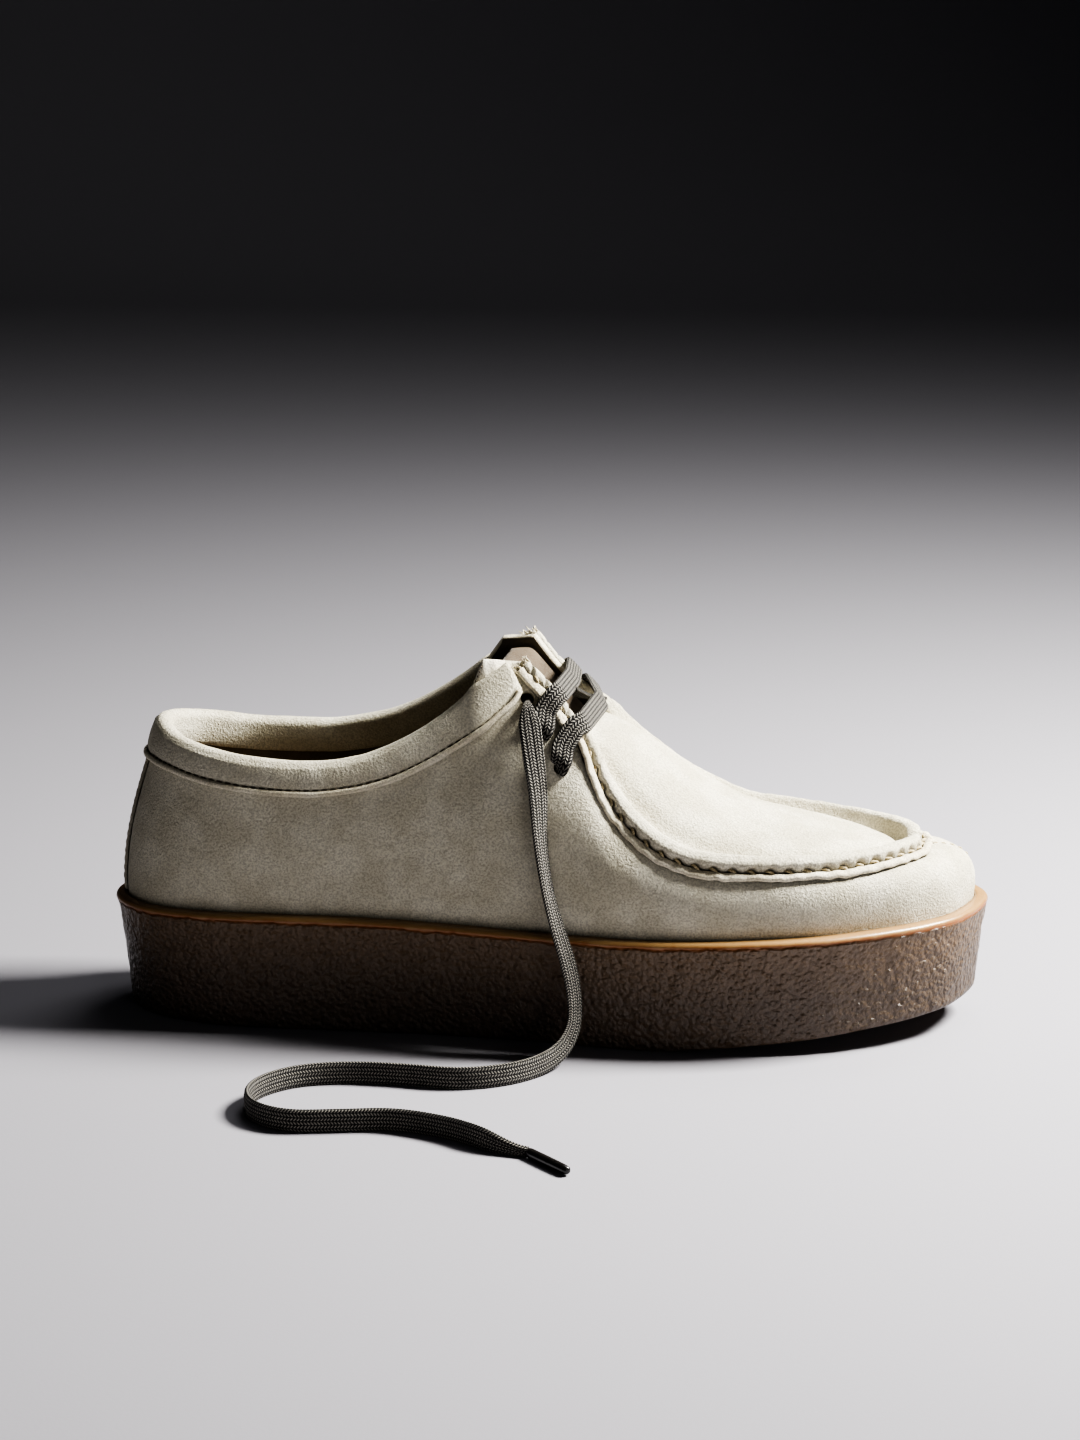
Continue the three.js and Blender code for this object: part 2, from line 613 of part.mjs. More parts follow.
// Collar band: a folded strip that goes down the outside, over the topline and down the inside.
function bandSection(place) {
  const s = station(place);
  const depth = BAND_DEPTH * through(BAND_SHARES, s);
  const outside = [];
  const cavity = [];
  const add = (drop, out, gap) => {
    outside.push(onWall(place, drop, out));
    cavity.push(onWall(place, drop, gap));
  };
  const skin = CLEARANCE + BAND_THICKNESS;
  add(depth, skin + PIPING_RELIEF, CLEARANCE);
  add(depth - PIPING_HEIGHT, skin + PIPING_RELIEF, CLEARANCE);
  add(depth - PIPING_HEIGHT * 1.3, skin, CLEARANCE);
  add(0, skin, CLEARANCE);
  const top = edge(place);
  const normal = wallNormal(place, 1);
  const rise = top.clone().sub(onWall(place, WALL / 2, 0)).normalize();
  const middle = top.clone().addScaledVector(normal, -WALL / 2);
  const halfOut = WALL / 2 + skin;
  const halfIn = WALL / 2 + CLEARANCE;
  for (const turn of [35, 90, 145].map(THREE.MathUtils.degToRad)) {
    const out = middle.clone().addScaledVector(normal, halfOut * Math.cos(turn));
    outside.push(out.addScaledVector(rise, (CLEARANCE + BAND_TOP) * Math.sin(turn)));
    const gap = middle.clone().addScaledVector(normal, halfIn * Math.sign(Math.round(10 * Math.cos(turn))));
    cavity.push(gap.addScaledVector(rise, CLEARANCE));
  }
  add(0, -WALL - skin, -WALL - CLEARANCE);
  add(BAND_LINING_DEPTH, -WALL - skin, -WALL - CLEARANCE);
  return [...outside, ...cavity.reverse()];
}

// The band's outer leaf alone, on the corner of the facing.
function bandCornerSection(place) {
  const depth = BAND_DEPTH * through(BAND_SHARES, station(place));
  const gap = 2 * CLEARANCE;
  const skin = gap + BAND_THICKNESS;
  const rows = [
    { drop: depth, out: skin + PIPING_RELIEF },
    { drop: depth - PIPING_HEIGHT, out: skin + PIPING_RELIEF },
    { drop: depth - PIPING_HEIGHT * 1.3, out: skin },
    { drop: CLEARANCE, out: skin },
  ];
  const outside = rows.map(({ drop, out }) => onWall(place, drop, out));
  const cavity = rows.map(({ drop }) => onWall(place, drop, gap));
  return [...outside, ...cavity.reverse()];
}

function bandGeometry() {
  const fold = sweep(placesBetween(-STATION.bandFoldEnd, STATION.bandFoldEnd).map(bandSection), stripCap);
  const cornerPlaces = placesBetween(STATION.earBase - 0.5, STATION.bandEnd);
  const outer = sweep(cornerPlaces.map(bandCornerSection), stripCap);
  const inner = sweep(cornerPlaces.map((place) => bandCornerSection(LOOP - place)), stripCap);
  return fromManifold(toManifold(fold).add(toManifold(outer)).add(toManifold(inner)));
}

// Strip over the back seam, from the collar band down to the sole.
function heelStripBody() {
  const steps = 6;
  const halfPlace = STRIP_WIDTH / 2 / rimPlan(0.5).distanceTo(rimPlan(-0.5));
  const top = BAND_DEPTH + 2 * CLEARANCE;
  const bottom = rib(0).getLength() - 2 * CLEARANCE;
  const columns = [-1, -0.5, 0, 0.5, 1].map((share) => share * halfPlace);
  const rings = Array.from({ length: steps + 1 }, (unused, i) => {
    const drop = mix(bottom, top, i / steps);
    const outer = columns.map((p) => onWall(p, drop, CLEARANCE + STRIP_THICKNESS));
    const inner = columns.map((p) => onWall(p, drop, CLEARANCE));
    return [...outer, ...inner.reverse()];
  });
  return sweep(rings, stripCap);
}

// Tongue: a sheet that dips between the facings and ends under the apron.
function tonguePoint(s, across) {
  const outer = edge(s);
  const inner = edge(LOOP - s);
  const inset = TONGUE_THICKNESS * atStation(TONGUE_ROWS, s, (row) => row.inset);
  const margin = inset / outer.distanceTo(inner);
  const t = mix(margin, 1 - margin, across);
  const dip = TONGUE_DIP * atStation(TONGUE_ROWS, s, (row) => row.dip);
  const rise = s > STATION.apronStart ? crown(s, t) : 0;
  const sag = dip * (1 - Math.abs(2 * across - 1) ** 2.2);
  return outer.lerp(inner, t).addScaledVector(UP, rise - sag);
}

function tongueBody() {
  const from = TONGUE_ROWS[0].station;
  const to = TONGUE_ROWS[TONGUE_ROWS.length - 1].station;
  const rows = 11;
  const steps = 6;
  const points = [];
  const triangles = [];
  const step = 0.03;
  for (let i = 0; i <= rows; i += 1) {
    const s = mix(from, to, i / rows);
    for (let k = 0; k <= steps; k += 1) {
      const t = k / steps;
      const here = tonguePoint(s, t);
      const ahead = tonguePoint(s + step, t).sub(tonguePoint(s - step, t));
      const aside = tonguePoint(s, t + step).sub(tonguePoint(s, t - step));
      const below = ahead.cross(aside).normalize().multiplyScalar(-WALL - 3 * CLEARANCE);
      points.push(here.add(below));
    }
  }
  const count = steps + 1;
  for (let i = 0; i < rows; i += 1) {
    for (let k = 0; k < steps; k += 1) {
      const a = i * count + k;
      triangles.push([a, a + count, a + count + 1], [a, a + count + 1, a + 1]);
    }
  }
  return thicken(points, triangles, TONGUE_THICKNESS);
}

// Flat lace along a path, with the direction of its width given at each point.
class LacePath extends THREE.CatmullRomCurve3 {
  constructor(points, widths) {
    super(points, false, 'centripetal');
    this.widths = new THREE.CatmullRomCurve3(widths, false, 'catmullrom', 0.5);
  }

  computeFrenetFrames(segments) {
    const tangents = [];
    const normals = [];
    const binormals = [];
    for (let i = 0; i <= segments; i += 1) {
      const u = i / segments;
      const tangent = this.getTangentAt(u).normalize();
      const width = this.widths.getPoint(this.getUtoTmapping(u));
      width.addScaledVector(tangent, -width.dot(tangent)).normalize();
      tangents.push(tangent);
      normals.push(width);
      binormals.push(tangent.clone().cross(width));
    }
    return { tangents, normals, binormals };
  }
}

function laceSection(width, thickness) {
  const round = thickness * 0.3;
  const [w, h] = [width / 2, thickness / 2];
  const corners8 = [
    [w, h - round], [w - round * 2, h], [-w + round * 2, h], [-w, h - round],
    [-w, -h + round], [-w + round * 2, -h], [w - round * 2, -h], [w, -h + round],
  ];
  return new THREE.Shape(corners8.map(([x, y]) => new THREE.Vector2(x, y)));
}

function laceGeometry(path, steps, thickness = LACE_THICKNESS) {
  const section = laceSection(LACE_WIDTH, thickness);
  const geometry = new THREE.ExtrudeGeometry(section, { steps, extrudePath: path, bevelEnabled: false });
  geometry.deleteAttribute('normal');
  geometry.deleteAttribute('uv');
  return mergeVertices(geometry, 1e-4);
}

function manifoldOf(geometry) {
  const vertProperties = new Float32Array(geometry.attributes.position.array);
  const triVerts = new Uint32Array(geometry.index.array);
  return new wasm.Manifold(new wasm.Mesh({ numProp: 3, vertProperties, triVerts }));
}

// The two crossings: the row of holes, the stations where each passes the seams, and its bow upward.
const BAR_ROWS = [
  { hole: HOLE_ROWS[1], outerSeam: 11.75, innerSeam: 11.95, bow: 0.6 },
  { hole: HOLE_ROWS[2], outerSeam: 12.95, innerSeam: 12.75, bow: 1.9 },
];

// Height over the seam at which a lace lies on a strip of it.
function overSeam(place, key, height) {
  const { origin, tangent, inward, normal } = seamFrame(place);
  const s = station(place);
  const [off, lift, , high] = [0, 1, 2, 3].map((i) => atStation(SEAM_ROWS, s, (row) => row[key][i]));
  const width = key === 'roll' ? ROLL_WIDTH : LIP_WIDTH;
  const top = (lift + high / 2) * height + LACE_THICKNESS / 2 + 5 * CLEARANCE;
  const point = origin.clone().addScaledVector(inward, off * width).addScaledVector(normal, top);
  return { point, tangent };
}

function barPath({ hole, outerSeam, innerSeam, bow }) {
  const lift = LACE_THICKNESS / 2 + 2 * CLEARANCE;
  const near = overSeam(outerSeam, 'roll', ROLL_HEIGHT);
  const nearLip = overSeam(outerSeam, 'lip', LIP_HEIGHT);
  const far = overSeam(LOOP - innerSeam, 'roll', ROLL_HEIGHT);
  const farLip = overSeam(LOOP - innerSeam, 'lip', LIP_HEIGHT);
  const middle = near.point.clone().lerp(far.point, 0.5).addScaledVector(UP, bow * LACE_THICKNESS);
  const points = [
    onWall(hole.station, hole.drop, lift),
    nearLip.point.addScaledVector(UP, CLEARANCE),
    near.point,
    middle,
    far.point,
    farLip.point.addScaledVector(UP, CLEARANCE),
    onWall(LOOP - hole.station, hole.drop, lift),
  ];
  const back = far.tangent.clone().negate();
  const between = near.tangent.clone().add(back).normalize();
  const widths = [near.tangent, near.tangent, near.tangent, between, back, back, back];
  return new LacePath(points, widths.map((w) => w.clone()));
}

function laceBarsGeometry() {
  const paths = BAR_ROWS.map(barPath);
  const [upper, lower] = paths;
  const steps = 14;
  const from = upper.getPointAt(0.36).addScaledVector(UP, -LACE_THICKNESS * 0.4);
  const to = lower.getPointAt(0.64).addScaledVector(UP, -LACE_THICKNESS * 0.4);
  const middle = from.clone().lerp(to, 0.5).addScaledVector(UP, -LACE_THICKNESS * 0.8);
  const width = upper.widths.getPoint(0.5);
  const slant = new LacePath([from, middle, to], [width, width.clone(), width.clone()]);
  let whole = manifoldOf(laceGeometry(upper, steps)).add(manifoldOf(laceGeometry(lower, steps)));
  whole = whole.add(manifoldOf(laceGeometry(slant, 6)));
  return fromManifold(whole);
}

// The free end: it leaves the top outer hole, hangs beside the shoe and lies on its edge on the floor.
// Each row is a point of its middle line, and the direction of its width there.
const LACE_ROUTE = [
  { at: [-4.0, -32.0, 113.0], width: [1.0, 0.0, 0.2] },
  { at: [-2.6, -35.6, 106.0], width: [1.0, 0.0, 0.1] },
  { at: [-1.2, -38.4, 97.0], width: [1.0, 0.0, 0.0] },
  { at: [0.6, -41.4, 85.0], width: [1.0, 0.1, 0.0] },
  { at: [1.7, -45.0, 70.0], width: [0.9, 0.2, 0.0] },
  { at: [4.3, -48.6, 55.0], width: [0.8, 0.5, 0.0] },
  { at: [8.3, -52.6, 42.0], width: [0.6, 0.7, 0.0] },
  { at: [11.8, -54.0, 31.0], width: [0.5, 0.8, 0.1] },
  { at: [13.8, -55.6, 21.0], width: [0.5, 0.7, 0.4] },
  { at: [13.9, -59.0, 12.0], width: [0.4, 0.5, 0.8] },
  { at: [10.6, -66.0, 6.2], width: [0.1, 0.3, 1.0] },
  { at: [4.0, -76.0, 4.0], width: [0.0, 0.0, 1.0] },
  { at: [-6.0, -85.5, 3.8], width: [0.0, 0.0, 1.0] },
  { at: [-20.0, -90.5, 3.8], width: [0.0, 0.0, 1.0] },
  { at: [-38.0, -88.5, 3.8], width: [0.0, 0.0, 1.0] },
  { at: [-55.0, -88.0, 3.8], width: [0.0, 0.0, 1.0] },
  { at: [-71.0, -93.0, 3.8], width: [0.0, 0.0, 1.0] },
  { at: [-81.0, -104.0, 3.8], width: [0.0, 0.0, 1.0] },
  { at: [-83.5, -117.0, 3.8], width: [0.0, 0.0, 1.0] },
  { at: [-78.5, -129.0, 3.8], width: [0.0, 0.0, 1.0] },
  { at: [-67.0, -135.5, 3.8], width: [0.0, 0.0, 1.0] },
  { at: [-52.0, -134.0, 3.8], width: [0.0, 0.0, 1.0] },
  { at: [-35.0, -131.8, 3.8], width: [0.0, 0.0, 1.0] },
  { at: [-18.0, -137.5, 3.8], width: [0.0, 0.0, 1.0] },
  { at: [-4.0, -147.0, 3.8], width: [0.0, 0.0, 1.0] },
  { at: [8.0, -151.0, 3.8], width: [0.0, 0.0, 1.0] },
];
const LACE_STEPS = 48;
const AGLET_HEADING = [0.66, -0.75];

function laceEndGeometry() {
  const points = LACE_ROUTE.map(({ at }) => vector(...at));
  const widths = LACE_ROUTE.map(({ width }) => vector(...width));
  return laceGeometry(new LacePath(points, widths), LACE_STEPS);
}

// Hard tip of the lace, lying on the floor just beyond the lace's end.
function agletGeometry() {
  const profile = [
    [0, 0],
    [AGLET_DIAMETER * 0.42, 0],
    [AGLET_DIAMETER / 2, AGLET_DIAMETER * 0.3],
    [AGLET_DIAMETER / 2, AGLET_LENGTH - AGLET_DIAMETER * 0.4],
    [AGLET_DIAMETER * 0.36, AGLET_LENGTH],
    [0, AGLET_LENGTH],
  ].map(([x, y]) => new THREE.Vector2(x, y));
  const sides = 10;
  return new THREE.LatheGeometry(profile, sides);
}

const suede = new THREE.MeshStandardMaterial({ color: 0xc9bfa9, roughness: 0.95, metalness: 0 });
const paleSuede = new THREE.MeshStandardMaterial({ color: 0xd3c9b2, roughness: 0.95, metalness: 0 });
const crepe = new THREE.MeshStandardMaterial({ color: 0x7a4a2a, roughness: 0.5, metalness: 0 });
const lining = new THREE.MeshStandardMaterial({ color: 0xb49a78, roughness: 0.8, metalness: 0 });
const braid = new THREE.MeshStandardMaterial({ color: 0x58554f, roughness: 0.85, metalness: 0 });
const hardTip = new THREE.MeshStandardMaterial({ color: 0x1c1b1a, roughness: 0.4, metalness: 0 });

const shoe = new THREE.Group();

function addPart(name, geometry, material) {
  const mesh = new THREE.Mesh(geometry, material);
  mesh.name = name;
  shoe.add(mesh);
  return mesh;
}

addPart('sole', toGeometry(soleBody()), crepe);
addPart('insole', toGeometry(insoleBody()), lining);
addPart('upper', upperGeometry(), suede);
addPart('tongue', toGeometry(tongueBody()), paleSuede);
addPart('collar_band', bandGeometry(), suede);
addPart('heel_strip', toGeometry(heelStripBody()), suede);
addPart('lace_bars', laceBarsGeometry(), braid);
addPart('lace_end', laceEndGeometry(), braid);

const aglet = addPart('aglet', agletGeometry(), hardTip);
const laceTip = LACE_ROUTE[LACE_ROUTE.length - 1].at;
const heading = vector(...AGLET_HEADING, 0).normalize();
aglet.position.set(laceTip[0], laceTip[1], (AGLET_DIAMETER + CLEARANCE) / 2);
aglet.position.addScaledVector(heading, 2 * CLEARANCE);
aglet.quaternion.setFromUnitVectors(vector(0, 1, 0), heading);

export default shoe;
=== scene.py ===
"""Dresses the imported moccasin-toe shoe with its crepe sole, suede upper, sewn seam, collar and laces.

Places are worked out in millimetres from the same driving sizes as the CAD source, and are turned to
metres when a mesh is made. X runs from heel to toe, Y to the inner side of the foot and Z up.
"""
import logging
import math
from dataclasses import dataclass, field
from enum import Enum
from functools import partial
from typing import Callable, Sequence

import bmesh
import bpy
import numpy as np
from mathutils import Matrix, Vector


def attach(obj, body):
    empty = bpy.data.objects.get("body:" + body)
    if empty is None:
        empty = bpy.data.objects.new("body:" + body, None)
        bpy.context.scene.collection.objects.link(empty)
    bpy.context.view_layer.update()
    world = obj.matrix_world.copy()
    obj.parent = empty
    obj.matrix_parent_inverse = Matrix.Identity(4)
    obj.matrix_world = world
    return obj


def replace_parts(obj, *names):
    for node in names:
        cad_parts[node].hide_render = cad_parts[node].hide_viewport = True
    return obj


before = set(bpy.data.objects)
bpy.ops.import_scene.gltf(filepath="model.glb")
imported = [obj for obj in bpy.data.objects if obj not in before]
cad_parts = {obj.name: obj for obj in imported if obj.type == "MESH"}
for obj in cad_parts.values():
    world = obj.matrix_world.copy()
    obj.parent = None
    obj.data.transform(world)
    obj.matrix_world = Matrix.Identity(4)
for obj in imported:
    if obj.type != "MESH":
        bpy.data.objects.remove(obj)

Array = np.ndarray
Piece = bpy.types.Object
Socket = bpy.types.NodeSocket
MM = 0.001
BODY = "root"
log = logging.getLogger("shoe")


class Rise(Enum):
    """Height in millimetres that an edge row's shares follow."""

    HEEL = 59.5
    INSTEP = 88.0
    TOE = 18.0


# Rim of the sole at each station from heel to toe, as shares of the sole's length and width, then the
# rim's height, the land beside the upper and the lift of the tread as shares of their own sizes.
SOLE_ROWS = np.array([
    (0.0, 0.0, 0.0, 0.972, 0.84, 0.0),
    (0.014, 0.136, 0.136, 0.975, 0.86, 0.0),
    (0.054, 0.258, 0.258, 0.985, 0.91, 0.0),
    (0.121, 0.34, 0.337, 1.003, 0.97, 0.0),
    (0.201, 0.366, 0.356, 1.01, 1.0, 0.0),
    (0.282, 0.372, 0.351, 1.008, 1.0, 0.0),
    (0.356, 0.379, 0.342, 0.992, 1.0, 0.0),
    (0.416, 0.393, 0.343, 0.976, 1.0, 0.0),
    (0.46, 0.409, 0.352, 0.966, 1.0, 0.0),
    (0.48, 0.418, 0.359, 0.962, 1.0, 0.0),
    (0.5, 0.427, 0.367, 0.96, 1.0, 0.0),
    (0.52, 0.437, 0.377, 0.958, 1.0, 0.0),
    (0.54, 0.447, 0.388, 0.957, 1.0, 0.0),
    (0.564, 0.46, 0.403, 0.957, 1.0, 0.0),
    (0.591, 0.473, 0.422, 0.958, 1.0, 0.0),
    (0.621, 0.485, 0.444, 0.962, 1.0, 0.0),
    (0.654, 0.495, 0.467, 0.97, 1.0, 0.05),
    (0.695, 0.5, 0.488, 0.98, 1.0, 0.17),
    (0.735, 0.498, 0.499, 0.994, 1.0, 0.3),
    (0.779, 0.484, 0.498, 1.007, 1.0, 0.42),
    (0.826, 0.451, 0.479, 1.018, 1.02, 0.55),
    (0.879, 0.383, 0.434, 1.03, 1.02, 0.7),
    (0.93, 0.288, 0.364, 1.037, 0.99, 0.83),
    (0.973, 0.15, 0.27, 1.04, 0.96, 0.94),
    (1.0, -0.09, 0.09, 1.04, 0.96, 1.0),
])

# Edge of the upper over each station: along, across and rise on the outer and then the inner side, and
# the wall's angles at its foot and at its edge. Below it, the height that each station's rise follows.
EDGE_ROWS = np.array([
    (0.057, 0.0, 1.0, 0.057, 0.0, 1.0, 1, 17),
    (0.066, 0.102, 0.975, 0.066, 0.102, 0.978, 3, 16),
    (0.092, 0.205, 0.928, 0.089, 0.2, 0.934, 5, 13),
    (0.14, 0.275, 0.872, 0.136, 0.27, 0.872, 8, 12),
    (0.198, 0.304, 0.838, 0.195, 0.299, 0.843, 9, 12),
    (0.258, 0.308, 0.838, 0.255, 0.304, 0.855, 9, 14),
    (0.315, 0.299, 0.905, 0.312, 0.29, 0.93, 9, 17),
    (0.37, 0.285, 1.05, 0.366, 0.271, 1.072, 9, 20),
    (0.418, 0.266, 0.835, 0.413, 0.252, 0.841, 10, 24),
    (0.436, 0.234, 1.0, 0.441, 0.234, 0.977, 10, 26),
    (0.485, 0.196, 0.983, 0.48, 0.192, 1.0, 10, 30),
    (0.503, 0.206, 0.921, 0.5, 0.201, 0.91, 11, 34),
    (0.523, 0.215, 0.838, 0.52, 0.21, 0.832, 11, 38),
    (0.544, 0.243, 0.724, 0.544, 0.234, 0.741, 12, 42),
    (0.56, 0.285, 0.582, 0.567, 0.266, 0.644, 12, 48),
    (0.591, 0.341, 0.42, 0.597, 0.304, 0.522, 12, 52),
    (0.628, 0.383, 1.54, 0.634, 0.332, 2.01, 12, 54),
    (0.671, 0.407, 1.25, 0.674, 0.35, 1.6, 13, 56),
    (0.721, 0.411, 1.13, 0.721, 0.355, 1.26, 13, 59),
    (0.775, 0.397, 1.085, 0.772, 0.341, 1.15, 12, 64),
    (0.829, 0.35, 1.065, 0.822, 0.304, 1.075, 10, 72),
    (0.876, 0.266, 1.065, 0.867, 0.238, 1.04, 8, 79),
    (0.903, 0.182, 1.055, 0.901, 0.164, 1.03, 6, 84),
    (0.921, 0.089, 1.03, 0.921, 0.089, 1.02, 5, 87),
    (0.926, -0.009, 1.015, 0.926, 0.009, 1.015, 4, 88),
])
RISES = (*[Rise.HEEL] * 8, *[Rise.INSTEP] * 8, *[Rise.TOE] * 9)
TOE = len(SOLE_ROWS) - 1
LOOP = 2 * TOE
EAR_BASE, EAR_TIP, FACING_TOP, APRON_START = 8, 9, 10, 13
CORNERS = (EAR_BASE, EAR_TIP, FACING_TOP)


def mix(a: Array, b: Array, t: Array) -> Array:
    """Value between a and b at share t."""
    return a + (b - a) * t


def smooth(low: float, high: float, value: Array) -> Array:
    """Soft step from 0 at low to 1 at high."""
    t = np.clip((np.asarray(value, float) - low) / (high - low), 0, 1)
    return t * t * (3 - 2 * t)


def unit(v: Array) -> Array:
    """Directions of the vectors along the last axis."""
    return v / np.maximum(np.linalg.norm(v, axis=-1, keepdims=True), 1e-9)


def dot(a: Array, b: Array) -> Array:
    """Scalar products along the last axis, kept as a column."""
    return np.sum(a * b, axis=-1, keepdims=True)


def through(values: Sequence[float], place: Array, corners: Sequence[int] = ()) -> Array:
    """Value of a smooth curve through evenly numbered values.

    Args:
        values: The values, one for each whole number.
        place: Where the curve is read.
        corners: Numbers at which the curve may turn sharply.

    Returns:
        The curve's value at each place.
    """
    values = np.asarray(values, float)
    place = np.asarray(place, float)
    last = len(values) - 1
    i = np.clip(np.floor(place).astype(int), 0, last - 1)
    t = place - i
    a, b = values[i], values[i + 1]
    sharp = list(corners)
    before = np.where((i == 0) | np.isin(i, sharp), 2 * a - b, values[np.maximum(i - 1, 0)])
    after = np.where((i + 1 == last) | np.isin(i + 1, sharp), 2 * b - a, values[np.minimum(i + 2, last)])
    slope_a, slope_b = (b - before) / 2, (after - a) / 2
    t2, t3 = t * t, t * t * t
    start = (2 * t3 - 3 * t2 + 1) * a + (t3 - 2 * t2 + t) * slope_a
    return start + (3 * t2 - 2 * t3) * b + (t3 - t2) * slope_b


def at_rows(stations: Sequence[float], values: Sequence[float], s: Array) -> Array:
    """Value of a table whose rows name their stations, with a soft step between two rows.

    Args:
        stations: The rows' stations.
        values: The rows' values.
        s: Where the table is read.

    Returns:
        The value at each station asked for.
    """
    s = np.clip(np.asarray(s, float), stations[0], stations[-1])
    i = np.clip(np.searchsorted(stations, s, side="right") - 1, 0, len(stations) - 2)
    stations, values = np.asarray(stations, float), np.asarray(values, float)
    t = (s - stations[i]) / (stations[i + 1] - stations[i])
    return mix(values[i], values[i + 1], smooth(0, 1, t))


def lengths(points: Array) -> Array:
    """Distance run along a line of points, from 0 at the first."""
    steps = np.linalg.norm(np.diff(points, axis=0), axis=1)
    return np.concatenate([[0.0], np.cumsum(steps)])


def station(place: Array) -> Array:
    """Station of a place on the loop, counted from the heel on either side."""
    p = np.mod(place, LOOP)
    return np.where(p <= TOE, p, LOOP - p)


def around(outer: Array, inner: Array, place: Array, corners: Sequence[int] = ()) -> Array:
    """Value of a closed curve: outer side from heel to toe, then inner side back.

    Args:
        outer: Values of the outer side.
        inner: Values of the inner side.
        place: Places on the loop.
        corners: Stations at which the curve may turn sharply.

    Returns:
        The value at each place.
    """
    ring = np.concatenate([outer, inner[1:TOE][::-1]])
    wrapped = np.concatenate([ring[-2:], ring, ring[:3]])
    marks = [m for c in corners for m in (c + 2, LOOP - c + 2)]
    return through(wrapped, np.mod(place, LOOP) + 2, marks)


class Unevenness:
    """Seeded smooth noise that gives leather and rubber their small irregularities."""

    cells = 32

    def __init__(self, seed: int) -> None:
        """Draws the lattice of values that the noise runs between."""
        self.lattice = np.random.default_rng(seed).uniform(-1, 1, (self.cells,) * 3)

    def at(self, points: Array, size: float) -> Array:
        """Noise from -1 to 1 at the points, with bumps about as wide as size.

        Args:
            points: The points.
            size: Width of a bump.

        Returns:
            The noise at each point.
        """
        q = np.asarray(points, float) / size
        low = np.floor(q).astype(int)
        f = smooth(0, 1, q - low)
        total = np.zeros(q.shape[:-1])
        for corner in np.ndindex(2, 2, 2):
            x, y, z = np.moveaxis((low + corner) % self.cells, -1, 0)
            total += np.prod(np.where(corner, f, 1 - f), axis=-1) * self.lattice[x, y, z]
        return total


